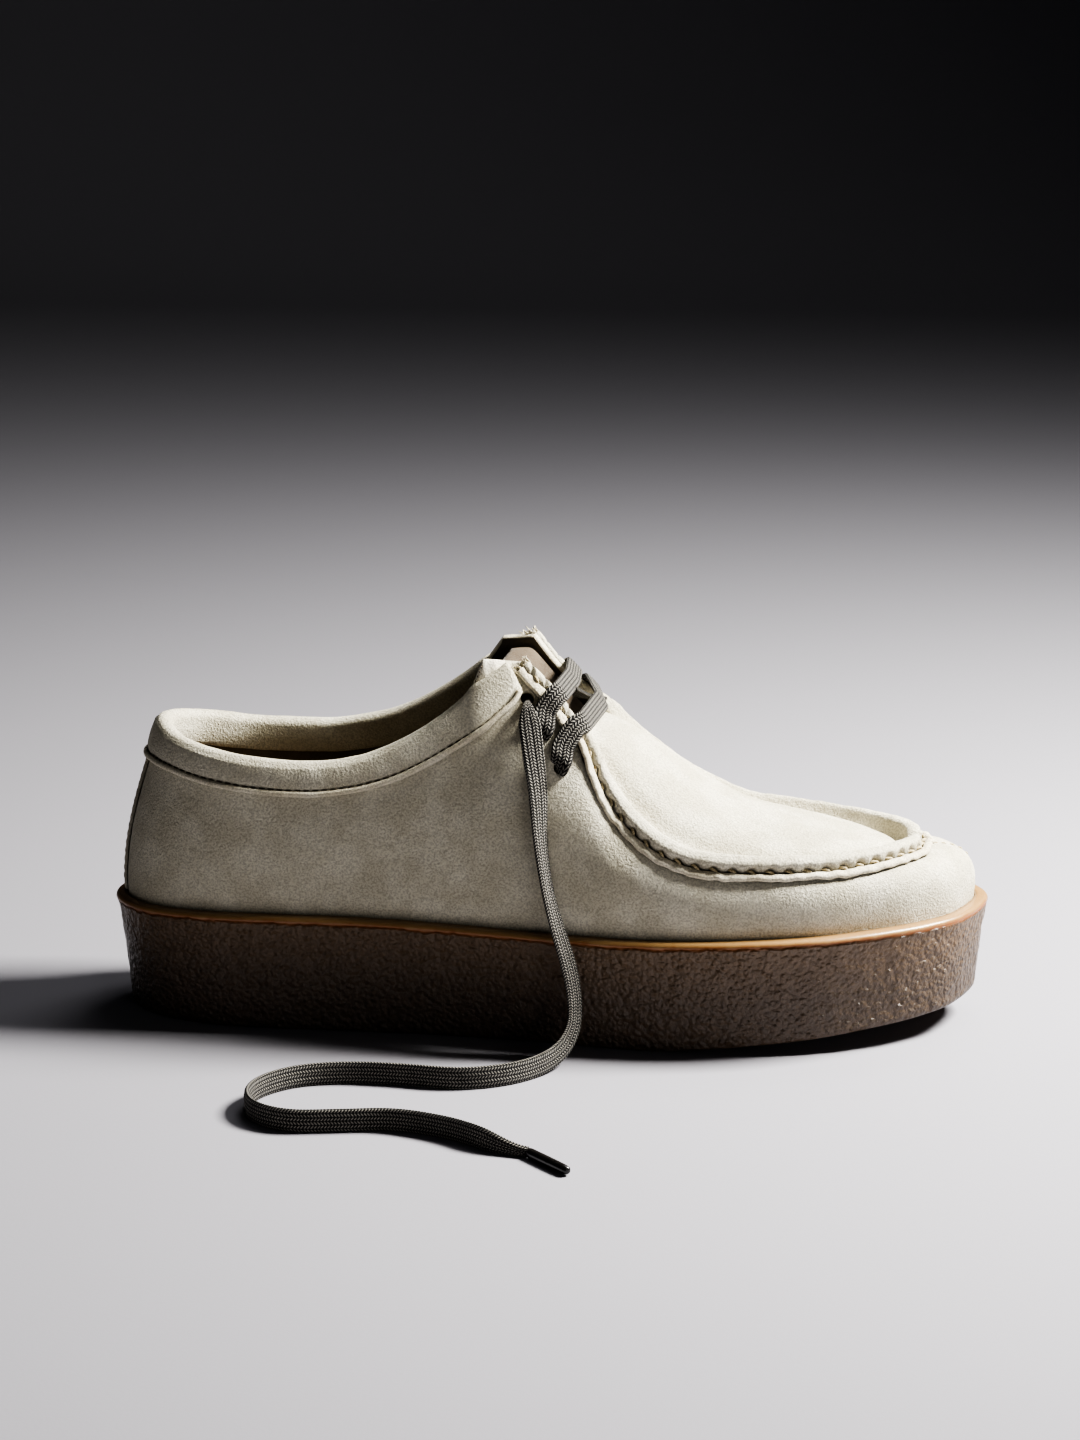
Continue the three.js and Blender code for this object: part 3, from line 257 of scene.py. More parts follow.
@dataclass(frozen=True)
class ShoeForm:
    """The last-shaped surfaces of the shoe, as functions of a place around it."""

    sole_length: float = 298.0
    sole_width: float = 107.0
    sole_height: float = 40.0
    toe_spring: float = 10.0
    side_taper: float = 4.8
    toe_taper_share: float = 0.75
    rim_land: float = 4.6
    rim_round: float = 1.5
    tread_round: float = 1.3
    recess_depth: float = 5.0
    crown_height: float = 19.0
    wall: float = 2.2
    clearance: float = 0.3
    valley_depth: float = 1.9
    valley_place: float = 7.4
    valley_width: float = 2.6
    ear_ease: float = 1.6
    ear_ease_width: float = 0.42
    handle_share: float = 0.36
    toe_handle_share: float = 0.52
    crown_shares: tuple = (0.00, 0.46, 0.90, 1.00, 0.87, 0.69, 0.51, 0.36, 0.17, 0.04, -0.02, 0.00)

    def rim_plan(self, place: Array) -> Array:
        """Points of the sole's rim in plan.

        Args:
            place: Places on the loop.

        Returns:
            The points, at no height.
        """
        along = (SOLE_ROWS[:, 0] - 0.5) * self.sole_length
        x = around(along, along, place)
        y = around(-SOLE_ROWS[:, 1] * self.sole_width, SOLE_ROWS[:, 2] * self.sole_width, place)
        return np.stack([x, y, np.zeros_like(x)], -1)

    def outward(self, place: Array) -> Array:
        """Outward direction of the rim in plan.

        Args:
            place: Places on the loop.

        Returns:
            The directions.
        """
        step = 0.05
        along = self.rim_plan(place + step) - self.rim_plan(place - step)
        return unit(np.stack([along[..., 1], -along[..., 0], np.zeros_like(along[..., 0])], -1))

    def rim_height(self, place: Array) -> Array:
        """Height of the sole's rim."""
        return self.sole_height * through(SOLE_ROWS[:, 3], station(place))

    def land(self, place: Array) -> Array:
        """Width of the rim beside the upper."""
        return self.rim_land * through(SOLE_ROWS[:, 4], station(place))

    def tread_height(self, place: Array) -> Array:
        """Height of the tread over the floor."""
        return self.toe_spring * np.maximum(0, through(SOLE_ROWS[:, 5], station(place)))

    def taper(self, place: Array) -> Array:
        """How far the side of the sole comes in at its foot."""
        toe = smooth(TOE - 5, TOE, station(place))
        return self.side_taper * mix(1, self.toe_taper_share, toe)

    def outline(self, place: Array, inset: Array, height: Array) -> Array:
        """Points a distance inside the rim at a height.

        Args:
            place: Places on the loop.
            inset: Distance inside the rim.
            height: Height over the floor.

        Returns:
            The points.
        """
        points = self.rim_plan(place) - self.outward(place) * np.asarray(inset, float)[..., None]
        points[..., 2] = height
        return points

    def edge(self, place: Array) -> Array:
        """Points of the upper's edge: topline, facing and apron seam.

        Args:
            place: Places on the loop.

        Returns:
            The points.
        """
        base, rise = self.sole_height * SOLE_ROWS[:, 3], np.array([kind.value for kind in RISES])
        sides = []
        for way, (along, across, up) in ((-1, EDGE_ROWS[:, :3].T), (1, EDGE_ROWS[:, 3:6].T)):
            sides.append(((along - 0.5) * self.sole_length, way * across * self.sole_width, base + up * rise))
        return np.stack([around(outer, inner, place, CORNERS) for outer, inner in zip(*sides)], -1)

    def foot(self, place: Array) -> Array:
        """Foot of the wall at the rim."""
        return self.outline(place, self.land(place) + self.clearance, self.rim_height(place) + self.clearance)

    def rib(self, place: Array) -> tuple[Array, Array, Array, Array]:
        """Four control points of the wall's curve from its foot to its edge.

        Args:
            place: Places on the loop.

        Returns:
            The foot, the two handles and the edge.
        """
        s = station(place)
        full = mix(self.handle_share, self.toe_handle_share, smooth(TOE - 6, TOE - 1, s))[..., None]
        start, end, out = self.foot(place), self.edge(place), self.outward(place)
        span = end - start
        drift = span - out * dot(span, out)
        drift[..., 2] = 0
        handle = full * np.linalg.norm(span, axis=-1, keepdims=True)
        flare = np.radians(through(EDGE_ROWS[:, 6], s))[..., None]
        lean = np.radians(through(EDGE_ROWS[:, 7], s))[..., None]
        up = np.array([0.0, 0.0, 1.0])
        low = start + up * handle * np.cos(flare) + out * handle * np.sin(flare) + drift * full
        high = end - up * handle * np.cos(lean) + out * handle * np.sin(lean) - drift * full
        return start, low, high, end

    def wall_point(self, place: Array, share: Array) -> Array:
        """Outer surface of the wall at a share of the way up its rib.

        Args:
            place: Places on the loop.
            share: Share of the way up, from 0 to 1.

        Returns:
            The points.
        """
        place, share = np.broadcast_arrays(np.asarray(place, float), np.asarray(share, float))
        start, low, high, end = self.rib(place)
        t = share[..., None]
        u = 1 - t
        ear = np.exp(-((station(place) - EAR_TIP) / self.ear_ease_width) ** 2)
        eased = self.ear_ease * ear * smooth(0.1, 0.75, share) * (1 - smooth(0.88, 1, share))
        curve = u ** 3 * start + 3 * u * u * t * low + 3 * u * t * t * high + t ** 3 * end
        return curve - self.outward(place) * eased[..., None]

    def wall_normal(self, place: Array, share: Array) -> Array:
        """Outward direction of the wall.

        Args:
            place: Places on the loop.
            share: Share of the way up, from 0 to 1.

        Returns:
            The directions.
        """
        place, share = np.broadcast_arrays(np.asarray(place, float), np.asarray(share, float))
        step = 0.04
        low = np.minimum(share, 1 - step)
        upward = self.wall_point(place, low + step) - self.wall_point(place, low)
        ahead = self.wall_point(place + step, share) - self.wall_point(place - step, share)
        return unit(np.cross(ahead, upward))

    def share_below(self, place: Array, drop: Array) -> Array:
        """Share of the rib that lies a given distance below its edge.

        Args:
            place: Places on the loop.
            drop: Distance below the edge.

        Returns:
            The shares.
        """
        place, drop = np.broadcast_arrays(np.asarray(place, float), np.asarray(drop, float))
        flat_place, flat_drop = place.ravel(), drop.ravel()
        kinds, index = np.unique(flat_place, return_inverse=True)
        grid = np.linspace(0, 1, 49)
        curves = self.wall_point(kinds[:, None], grid[None, :])
        result = np.empty_like(flat_drop)
        for k, curve in enumerate(curves):
            run = lengths(curve)
            mine = index == k
            result[mine] = np.interp(run[-1] - flat_drop[mine], run, grid)
        return result.reshape(drop.shape)

    def on_wall(self, place: Array, drop: Array, lift: Array) -> Array:
        """Point a distance below the edge of the wall, lifted off its outer surface.

        Args:
            place: Places on the loop.
            drop: Distance below the edge.
            lift: Distance off the surface.

        Returns:
            The points.
        """
        share = self.share_below(place, drop)
        lift = np.asarray(lift, float)[..., None]
        return self.wall_point(place, share) + self.wall_normal(place, share) * lift

    def crown(self, s: Array, across: Array) -> Array:
        """Height of the apron over the straight line between its seams."""
        height = self.crown_height * through(self.crown_shares, s - APRON_START)
        return height * (1 - np.abs(2 * across - 1) ** 2.4)

    def apron_point(self, s: Array, across: Array) -> Array:
        """Surface of the apron between its two seams.

        Args:
            s: Stations.
            across: Share of the way from the outer to the inner seam.

        Returns:
            The points.
        """
        s, across = np.broadcast_arrays(np.asarray(s, float), np.asarray(across, float))
        points = mix(self.edge(s), self.edge(LOOP - s), across[..., None])
        points[..., 2] += self.crown(s, across)
        return points

    def seam_gap(self, points: Array) -> Array:
        """Distance in plan of points from the apron's seam."""
        seam = self.edge(np.linspace(APRON_START - 1, LOOP - APRON_START + 1, 240))[:, :2]
        return np.min(np.linalg.norm(points[..., None, :2] - seam, axis=-1), axis=-1)

    def apron_surface(self, s: Array, across: Array) -> Array:
        """The apron with the soft valley that the rolled seam leaves inside it.

        Args:
            s: Stations.
            across: Share of the way from the outer to the inner seam.

        Returns:
            The points.
        """
        points = self.apron_point(s, across)
        gap = self.seam_gap(points)
        valley = np.exp(-((gap - self.valley_place) / self.valley_width) ** 2)
        held = smooth(APRON_START, APRON_START + 2, np.broadcast_to(s, gap.shape))
        points[..., 2] -= self.valley_depth * valley * held
        return points

    def seam_frame(self, place: Array) -> tuple[Array, Array, Array, Array]:
        """Origin, direction along, direction inward and direction up of the seam.

        Args:
            place: Places on the loop.

        Returns:
            The seam's points and the three directions.
        """
        place = np.asarray(place, float)
        step = 0.02
        s = station(place)
        first = s <= FACING_TOP + step
        to_toe = np.where(place <= TOE, 1, -1)
        start = np.where(first, place, place - step)
        stop = np.where(first, place + to_toe * step, place + step)
        tangent = unit(self.edge(stop) - self.edge(start))
        tangent = np.where((first & (to_toe < 0))[..., None], -tangent, tangent)
        wall = self.wall_normal(place, 1.0)
        turned = smooth(APRON_START - 1, APRON_START + 2, s)[..., None]
        across = np.where(place <= TOE, 0.06, 0.94)
        on_apron = (s > APRON_START)[..., None]
        origin = self.edge(place)
        side = np.where(on_apron, self.apron_point(np.clip(s, APRON_START, TOE - 0.3), across), origin)
        apron_up = unit(np.cross(tangent, unit(side - origin)))
        apron_up = np.where(apron_up[..., 2:] < 0, -apron_up, apron_up)
        normal = np.where(on_apron, unit(mix(wall, apron_up, 0.5 * turned)), wall)
        normal = unit(normal - tangent * dot(normal, tangent))
        return origin, tangent, np.cross(normal, tangent), normal

    def even(self, start: float, stop: float, step: float, line: Callable[[Array], Array]) -> Array:
        """Places from start to stop whose points on a line lie evenly apart.

        Args:
            start: First place.
            stop: Last place.
            step: Distance between two points, at most.
            line: Gives the line's point at a place.

        Returns:
            The places.
        """
        fine = np.linspace(start, stop, 1200)
        run = lengths(line(fine))
        count = max(2, math.ceil(run[-1] / step))
        return np.interp(np.linspace(0, run[-1], count + 1), run, fine)

    def loop(self, step: float, line: Callable[[Array], Array], keys: Sequence[float]) -> Array:
        """Places all round the shoe, evenly apart between the key places.

        Args:
            step: Distance between two points, at most.
            line: Gives the line's point at a place.
            keys: Places that are kept, in order.

        Returns:
            The places.
        """
        stops = [*keys, keys[0] + LOOP]
        runs = [self.even(a, b, step, line)[:-1] for a, b in zip(stops, stops[1:])]
        return np.concatenate(runs)


FORM = ShoeForm()


class Shader:
    """One material's node tree, built node by node."""

    def __init__(self, name: str) -> None:
        """Starts an empty tree.

        Args:
            name: The material's plain name.
        """
        self.material = bpy.data.materials.new(name)
        self.material.use_nodes = True
        self.tree = self.material.node_tree
        self.tree.nodes.clear()

    def add(self, kind: str, inputs: dict | None = None, out: int | str = 0,
            **settings: object) -> Socket | None:
        """Adds a node with its settings and links.

        Args:
            kind: The node's type, without the words ShaderNode.
            inputs: Values or sockets by input name or number.
            out: Name or number of the output that is wanted.
            settings: The node's own properties.

        Returns:
            That output, if the node has one.
        """
        made = self.tree.nodes.new("ShaderNode" + kind)
        for key, value in settings.items():
            setattr(made, key, value)
        for key, value in (inputs or {}).items():
            if isinstance(value, Socket):
                self.tree.links.new(value, made.inputs[key])
            else:
                made.inputs[key].default_value = value
        return made.outputs[out] if made.outputs else None

    def place(self) -> Socket:
        """Place on the shoe in millimetres."""
        metres = self.add("TexCoord", out="Object")
        return self.add("VectorMath", {0: metres, "Scale": 1 / MM}, operation="SCALE")

    def surface(self, inputs: dict) -> bpy.types.Material:
        """Ends the tree in the surface shader and gives back the material."""
        self.add("OutputMaterial", {"Surface": self.add("BsdfPrincipled", inputs)})
        return self.material


# Settings that several nodes share: a soft step, and a mix of two colours.
SOFT = {"interpolation_type": "SMOOTHSTEP"}
COLOURS = {"data_type": "RGBA", "out": 2}


def linear(code: str) -> tuple[float, float, float, float]:
    """Linear colour of an sRGB hex value.

    Args:
        code: The value, with its hash sign.

    Returns:
        Red, green, blue and alpha.
    """
    parts = [int(code[i:i + 2], 16) / 255 for i in (1, 3, 5)]
    red, green, blue = (c / 12.92 if c <= 0.04045 else ((c + 0.055) / 1.055) ** 2.4 for c in parts)
    return red, green, blue, 1.0


@dataclass(frozen=True)
class Suede:
    """Split cowhide buffed to a nap: matt, mottled where the nap lies another way, with a fine grain."""

    name: str
    light: str
    dark: str
    grain: float = 0.66
    depth: float = 0.42
    sheen: float = 0.10

    def material(self) -> bpy.types.Material:
        """Builds the nap's colour and relief.

        Returns:
            The material.
        """
        shade = Shader(self.name)
        at = shade.place()
        # The nap is finer than a pixel, so its grain is drawn about twice as coarse as the real one.
        nap = shade.add("TexNoise", {"Vector": at, "Scale": 1 / self.grain, "Detail": 3.0, "Roughness": 0.62})
        pores = shade.add("TexNoise", {"Vector": at, "Scale": 1 / (self.grain * 1.5)})
        brushed = shade.add("TexNoise", {"Vector": at, "Scale": 1 / 13.0, "Detail": 3.0, "Roughness": 0.55})
        lie = shade.add("MapRange", {"Value": brushed, "From Min": 0.36, "From Max": 0.66}, **SOFT)
        colour = shade.add("Mix", {0: lie, 6: linear(self.dark), 7: linear(self.light)}, **COLOURS)
        hollow = shade.add("MapRange", {"Value": nap, "From Min": 0.36, "From Max": 0.62, "To Min": 0.4,
                                        "To Max": 0.0}, **SOFT)
        colour = shade.add("Mix", {0: hollow, 6: colour, 7: linear("#6c665d")}, **COLOURS)
        # Painted shade: the seam's groove, the slits of the facing strips and the underside of the lip are
        # darkened where shadow falls, which reads as a dark line.
        groove_painted_shade = shade.add("Attribute", out="Fac", attribute_name="groove_painted_shade")
        colour = shade.add("Mix", {0: groove_painted_shade, 6: colour, 7: linear("#2a241c")}, **COLOURS)
        relief = shade.add("Bump", {"Height": nap, "Distance": self.depth * MM})
        relief = shade.add("Bump", {"Height": pores, "Distance": self.depth * 0.7 * MM, "Normal": relief})
        return shade.surface({"Base Color": colour, "Roughness": 0.95, "Specular IOR Level": 0.18,
                              "Sheen Weight": self.sheen, "Sheen Roughness": 0.45, "Normal": relief})


@dataclass(frozen=True)
class CrepeRubber:
    """Crepe rubber sheet, pressed: brown, pebbled and a little glossy, with a smooth tan band at the rim."""

    name: str = "crepe_rubber_pressed"
    body: str = "#6a5642"
    deep: str = "#4e4135"
    band: str = "#8a5630"
    # Paler tan at the rim's top: partly the rim's own colour, partly a painted highlight.
    rim: str = "#9a7a51"

    def material(self) -> bpy.types.Material:
        """Builds the pebbles below the band and the smooth band above them.

        Returns:
            The material.
        """
        shade = Shader(self.name)
        at = shade.place()
        below = shade.add("Attribute", out="Fac", attribute_name="below_rim")
        # The band's lower edge wanders up and down by about a millimetre.
        wander = shade.add("TexNoise", {"Vector": at, "Scale": 1 / 5.0, "Roughness": 0.6})
        line = shade.add("Math", {0: wander, 1: 1.9, 2: below}, operation="MULTIPLY_ADD")
        pebbled = shade.add("MapRange", {"Value": line, "From Min": 2.55, "From Max": 4.05}, **SOFT)
        # Pebbles of the pressed sheet are one to two millimetres wide.
        cells = shade.add("TexVoronoi", {"Vector": at, "Scale": 1 / 1.7, "Smoothness": 0.6}, "Distance",
                          feature="SMOOTH_F1")
        lumps = shade.add("TexNoise", {"Vector": at, "Scale": 1 / 1.5, "Detail": 3.0, "Roughness": 0.6})
        domes = shade.add("Math", {0: lumps, 1: cells}, operation="SUBTRACT")
        height = shade.add("Math", {0: domes, 1: pebbled, 2: pebbled}, operation="MULTIPLY_ADD")
        patches = shade.add("TexNoise", {"Vector": at, "Scale": 1 / 2.4, "Roughness": 0.6})
        mottle = shade.add("MapRange", {"Value": patches, "From Min": 0.3, "From Max": 0.7, "To Max": 0.25},
                           **SOFT)
        # Painted shade: the brown turns darker lower down the sole's side, away from the light above. The
        # mottle added to it is the rubber's own.
        lower_painted_shade = shade.add("MapRange", {"Value": below, "From Min": 1.0, "From Max": 26.0, "To Min": 0.75,
                                      "To Max": 0.0}, **SOFT)
        share = shade.add("Math", {0: lower_painted_shade, 1: mottle}, operation="ADD")
        brown = shade.add("Mix", {0: share, 6: linear(self.deep), 7: linear(self.body)}, **COLOURS)
        # The band's top edge takes the paler rim colour, partly the rim's own tan and partly a painted
        # highlight along its rounding.
        edge = shade.add("MapRange", {"Value": line, "From Min": 1.35, "From Max": 2.75}, **SOFT)
        band_and_painted_highlight = shade.add("Mix", {0: edge, 6: linear(self.rim), 7: linear(self.band)}, **COLOURS)
        colour = shade.add("Mix", {0: pebbled, 6: band_and_painted_highlight, 7: brown}, **COLOURS)
        gloss = shade.add("TexNoise", {"Vector": at, "Scale": 1 / 1.1})
        rough = shade.add("MapRange", {"Value": gloss, "To Min": 0.22, "To Max": 0.42})
        grit = shade.add("TexNoise", {"Vector": at, "Scale": 1 / 0.5})
        fine = shade.add("Bump", {"Height": grit, "Distance": 0.03 * MM})
        relief = shade.add("Bump", {"Height": height, "Distance": MM, "Normal": fine})
        return shade.surface({"Base Color": colour, "Roughness": rough, "Specular IOR Level": 0.5,
                              "IOR": 1.52, "Normal": relief})


@dataclass(frozen=True)
class SmoothLeather:
    """Vegetable-tanned leather, glazed: fine pores, a soft gloss and darker patches from handling."""

    name: str
    light: str
    dark: str
    rough: float = 0.6

    def material(self) -> bpy.types.Material:
        """Builds pores and patches.

        Returns:
            The material.
        """
        shade = Shader(self.name)
        at = shade.place()
        handled = shade.add("TexNoise", {"Vector": at, "Scale": 1 / 16.0, "Detail": 3.0})
        patches = shade.add("MapRange", {"Value": handled, "From Min": 0.35, "From Max": 0.68}, **SOFT)
        colour = shade.add("Mix", {0: patches, 6: linear(self.dark), 7: linear(self.light)}, **COLOURS)
        pores = shade.add("TexNoise", {"Vector": at, "Scale": 1 / 0.8, "Detail": 3.0, "Roughness": 0.6})
        cells = shade.add("TexVoronoi", {"Vector": at, "Scale": 1 / 1.3}, "Distance",
                          feature="DISTANCE_TO_EDGE")
        creases = shade.add("MapRange", {"Value": cells, "From Max": 0.16}, **SOFT)
        relief = shade.add("Bump", {"Height": pores, "Distance": 0.05 * MM})
        relief = shade.add("Bump", {"Height": creases, "Distance": 0.06 * MM, "Normal": relief})
        return shade.surface({"Base Color": colour, "Roughness": self.rough, "Specular IOR Level": 0.4,
                              "Normal": relief})


@dataclass(frozen=True)
class BraidedLace:
    """Flat cotton lace, braided: slanted yarns in columns that turn into ribs along its length."""

    name: str
    yarn: str
    gap: str
    column: float = 1.22
    pitch: float = 1.02

    def material(self) -> bpy.types.Material:
        """Builds the braid from the lace's own length and width in millimetres.

        Returns:
            The material.
        """
        shade = Shader(self.name)
        uv = shade.add("UVMap", uv_map="lace")
        along, across = (shade.add("SeparateXYZ", {0: uv}, out) for out in (0, 1))
        lane = shade.add("Math", {0: across, 1: self.column}, operation="DIVIDE")
        inside = shade.add("Math", {0: lane}, operation="FRACT")
        number = shade.add("Math", {0: lane}, operation="FLOOR")
        side = shade.add("Math", {0: number, 1: 2.0}, operation="MODULO")
        side = shade.add("Math", {0: side}, operation="ABSOLUTE")
        # The yarns of every second column slant the other way.
        turn = shade.add("Math", {0: side, 1: 2.0, 2: -1.0}, operation="MULTIPLY_ADD")
        middle = shade.add("Math", {0: inside, 1: 0.5}, operation="SUBTRACT")
        slant = shade.add("Math", {0: middle, 1: turn}, operation="MULTIPLY")
        stitch = shade.add("Math", {0: along, 1: self.pitch}, operation="DIVIDE")
        wave = shade.add("Math", {0: slant, 1: 0.9, 2: stitch}, operation="MULTIPLY_ADD")
        angle = shade.add("Math", {0: wave, 1: 2 * math.pi}, operation="MULTIPLY")
        sine = shade.add("Math", {0: angle}, operation="SINE")
        yarn = shade.add("Math", {0: sine, 1: 0.5, 2: 0.85}, operation="MULTIPLY_ADD")
        arch = shade.add("Math", {0: inside, 1: math.pi}, operation="MULTIPLY")
        rib = shade.add("Math", {0: arch}, operation="SINE")
        rib = shade.add("Math", {0: rib, 1: 0.6}, operation="POWER")
        height = shade.add("Math", {0: rib, 1: yarn}, operation="MULTIPLY")
        at = shade.place()
        fuzz = shade.add("TexNoise", {"Vector": at, "Scale": 1 / 0.35, "Roughness": 0.6})
        worn = shade.add("TexNoise", {"Vector": at, "Scale": 1 / 4.0})
        # Painted light: the raised yarns are drawn bright like highlights and the gaps between them dark like
        # shade, with random fuzz and wear on top.
        yarn_painted_light = shade.add("Math", {0: fuzz, 1: 0.5, 2: height}, operation="MULTIPLY_ADD")
        yarn_painted_light = shade.add("Math", {0: worn, 1: 0.3, 2: yarn_painted_light}, operation="MULTIPLY_ADD")
        share = shade.add("MapRange", {"Value": yarn_painted_light, "From Min": 0.9, "From Max": 1.55}, **SOFT)
        colour = shade.add("Mix", {0: share, 6: linear(self.gap), 7: linear(self.yarn)}, **COLOURS)
        relief = shade.add("Bump", {"Height": height, "Distance": 0.45 * MM})
        relief = shade.add("Bump", {"Height": fuzz, "Distance": 0.05 * MM, "Normal": relief})
        return shade.surface({"Base Color": colour, "Roughness": 0.82, "Specular IOR Level": 0.3,
                              "Sheen Weight": 0.08, "Normal": relief})


@dataclass(frozen=True)
class TwistedThread:
    """Waxed thread, twisted: fine slanted strands with a dull shine."""

    name: str
    colour: str
    hollow: str

    def material(self) -> bpy.types.Material:
        """Builds the strands.

        Returns:
            The material.
        """
        shade = Shader(self.name)
        strands = shade.add("TexNoise", {"Vector": shade.place(), "Scale": 1 / 0.4})
        share = shade.add("MapRange", {"Value": strands, "From Min": 0.35, "From Max": 0.65}, **SOFT)
        colour = shade.add("Mix", {0: share, 6: linear(self.hollow), 7: linear(self.colour)}, **COLOURS)
        relief = shade.add("Bump", {"Height": strands, "Distance": 0.12 * MM})
        return shade.surface({"Base Color": colour, "Roughness": 0.62, "Specular IOR Level": 0.35,
                              "Normal": relief})


@dataclass(frozen=True)
class MouldedTip:
    """Acetate film, rolled and moulded: nearly black with a clean gloss."""

    name: str = "acetate_rolled"
    colour: str = "#191716"

    def material(self) -> bpy.types.Material:
        """Builds the film with its faint ripples.

        Returns:
            The material.
        """
        shade = Shader(self.name)
        ripple = shade.add("TexNoise", {"Vector": shade.place(), "Scale": 1 / 1.6, "Detail": 1.0})
        rough = shade.add("MapRange", {"Value": ripple, "To Min": 0.22, "To Max": 0.37})
        relief = shade.add("Bump", {"Height": ripple, "Distance": 0.08 * MM})
        return shade.surface({"Base Color": linear(self.colour), "Roughness": rough, "IOR": 1.48,
                              "Coat Weight": 0.4, "Coat Roughness": 0.12, "Normal": relief})


@dataclass(frozen=True)
class StudioPaper:
    """Paper background, unrolled: plain, pale and matt."""

    name: str = "studio_paper"
    colour: str = "#98969c"

    def material(self) -> bpy.types.Material:
        """Builds the paper.

        Returns:
            The material.
        """
        shade = Shader(self.name)
        tooth = shade.add("TexNoise", {"Vector": shade.place(), "Scale": 1 / 1.4})
        relief = shade.add("Bump", {"Height": tooth, "Distance": 0.03 * MM})
        return shade.surface({"Base Color": linear(self.colour), "Roughness": 0.9,
                              "Specular IOR Level": 0.2, "Normal": relief})


class Finishes:
    """The shoe's finishes, each built once."""

    def __init__(self) -> None:
        """Builds each finish, named for the real one. Where a colour is drawn darker for shade, the name says
        painted shade.
        """
        self.suede = Suede("cow_suede_buffed", "#d6d0bd", "#c6bfaa").material()
        self.raw_edge = Suede("suede_cut_edge", "#e3dbc6", "#d3c9b0", grain=0.6, depth=0.3).material()
        self.cut_face = Suede("suede_cut_face", "#f4eee0", "#ebe3cf", grain=0.6, depth=0.2).material()
        # Painted shade: the inside of the shoe is the same suede as the outside, drawn much darker because it
        # lies in shadow.
        self.lining = Suede("suede_lining_painted_shade", "#6b6252", "#585041", grain=0.6, depth=0.12).material()
        # Partly painted shade: the tongue's own tan is drawn dark because it lies in shadow between the
        # facings.
        self.tongue = Suede("calf_split_tan_painted_shade", "#66594a", "#51463a", grain=0.6, depth=0.1).material()
        self.insole = SmoothLeather("calf_leather_glazed", "#94714d", "#7e5f41").material()
        self.crepe = CrepeRubber().material()
        # Painted shade: the lace's yarn and gap colours are drawn darker than the cotton's own grey, and the
        # gap colour is nearly black.
        self.lace = BraidedLace("cotton_lace_braided", "#928d84", "#141312").material()
        self.thread = TwistedThread("cotton_thread_waxed", "#cdbf9c", "#9c8b69").material()
        # Painted shade: the collar's and heel strip's stitches are drawn dark brown for their shadowed stitch
        # holes. The thread itself is beige.
        self.fine_thread_painted_shade = TwistedThread("polyester_thread_painted_shade", "#5f5443", "#3a3329").material()
        self.tip = MouldedTip().material()
        self.paper = StudioPaper().material()


def grid_faces(rows: int, columns: int, wrap: bool = False) -> Array:
    """Four-sided faces of a grid of points.

    Args:
        rows: Number of rows.
        columns: Number of points in a row.
        wrap: Whether each row closes on itself.

    Returns:
        The faces, as numbers of points.
    """
    last = columns if wrap else columns - 1
    i, j = np.meshgrid(np.arange(rows - 1), np.arange(last), indexing="ij")
    a, b = i * columns + j, i * columns + (j + 1) % columns
    return np.stack([a, b, b + columns, a + columns], -1).reshape(-1, 4)


def facing(points: Array, faces: Array, way: Array) -> Array:
    """Faces of a grid, turned so that they look the way given at each point.

    Args:
        points: The grid's points.
        faces: Its faces.
        way: Direction at each point.

    Returns:
        The faces.
    """
    flat, ways = points.reshape(-1, 3), np.broadcast_to(way, points.shape).reshape(-1, 3)
    a, b, c = (flat[faces[:, k]] for k in range(3))
    looks = np.sum(np.cross(b - a, c - a) * ways[faces[:, 1]])
    return faces if looks > 0 else faces[:, ::-1]


def add_object(name: str, data: bpy.types.ID) -> Piece:
    """Adds an object with its data to the scene.

    Args:
        name: The object's name.
        data: Its mesh, camera or lamp.

    Returns:
        The object.
    """
    made = bpy.data.objects.new(name, data)
    bpy.context.scene.collection.objects.link(made)
    return made


def make_piece(name: str, points: Array, faces: Sequence, material: bpy.types.Material,
               uv: Array | None = None, marks: dict | None = None, closed: bool = True) -> Piece:
    """Makes a smooth mesh piece of the shoe and lets it ride on the body.

    Args:
        name: The piece's plain name.
        points: Its points in millimetres.
        faces: Its faces, as numbers of points.
        material: Its finish.
        uv: Length and width in millimetres at each point, for a lace.
        marks: Named values at each point.
        closed: Whether it is a closed body, whose faces are turned outward.

    Returns:
        The piece.
    """
    flat = np.asarray(points, float).reshape(-1, 3) * MM
    mesh = bpy.data.meshes.new(name)
    mesh.from_pydata(flat.tolist(), [], [list(map(int, face)) for face in faces])
    for mark, values in (marks or {}).items():
        attribute = mesh.attributes.new(mark, "FLOAT", "POINT")
        attribute.data.foreach_set("value", np.asarray(values, np.float32).ravel())
    if uv is not None:
        layer = mesh.uv_layers.new(name="lace")
        corner = np.empty(len(mesh.loops), int)
        mesh.loops.foreach_get("vertex_index", corner)
        layer.data.foreach_set("uv", np.asarray(uv, np.float32).reshape(-1, 2)[corner].ravel())
    if closed:
        work = bmesh.new()
        work.from_mesh(mesh)
        bmesh.ops.recalc_face_normals(work, faces=work.faces)
        work.to_mesh(mesh)
        work.free()
    mesh.polygons.foreach_set("use_smooth", np.ones(len(mesh.polygons), bool))
    mesh.materials.append(material)
    piece = add_object(name, mesh)
    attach(piece, BODY)
    log.info("%s: %d faces", name, len(mesh.polygons))
    return piece


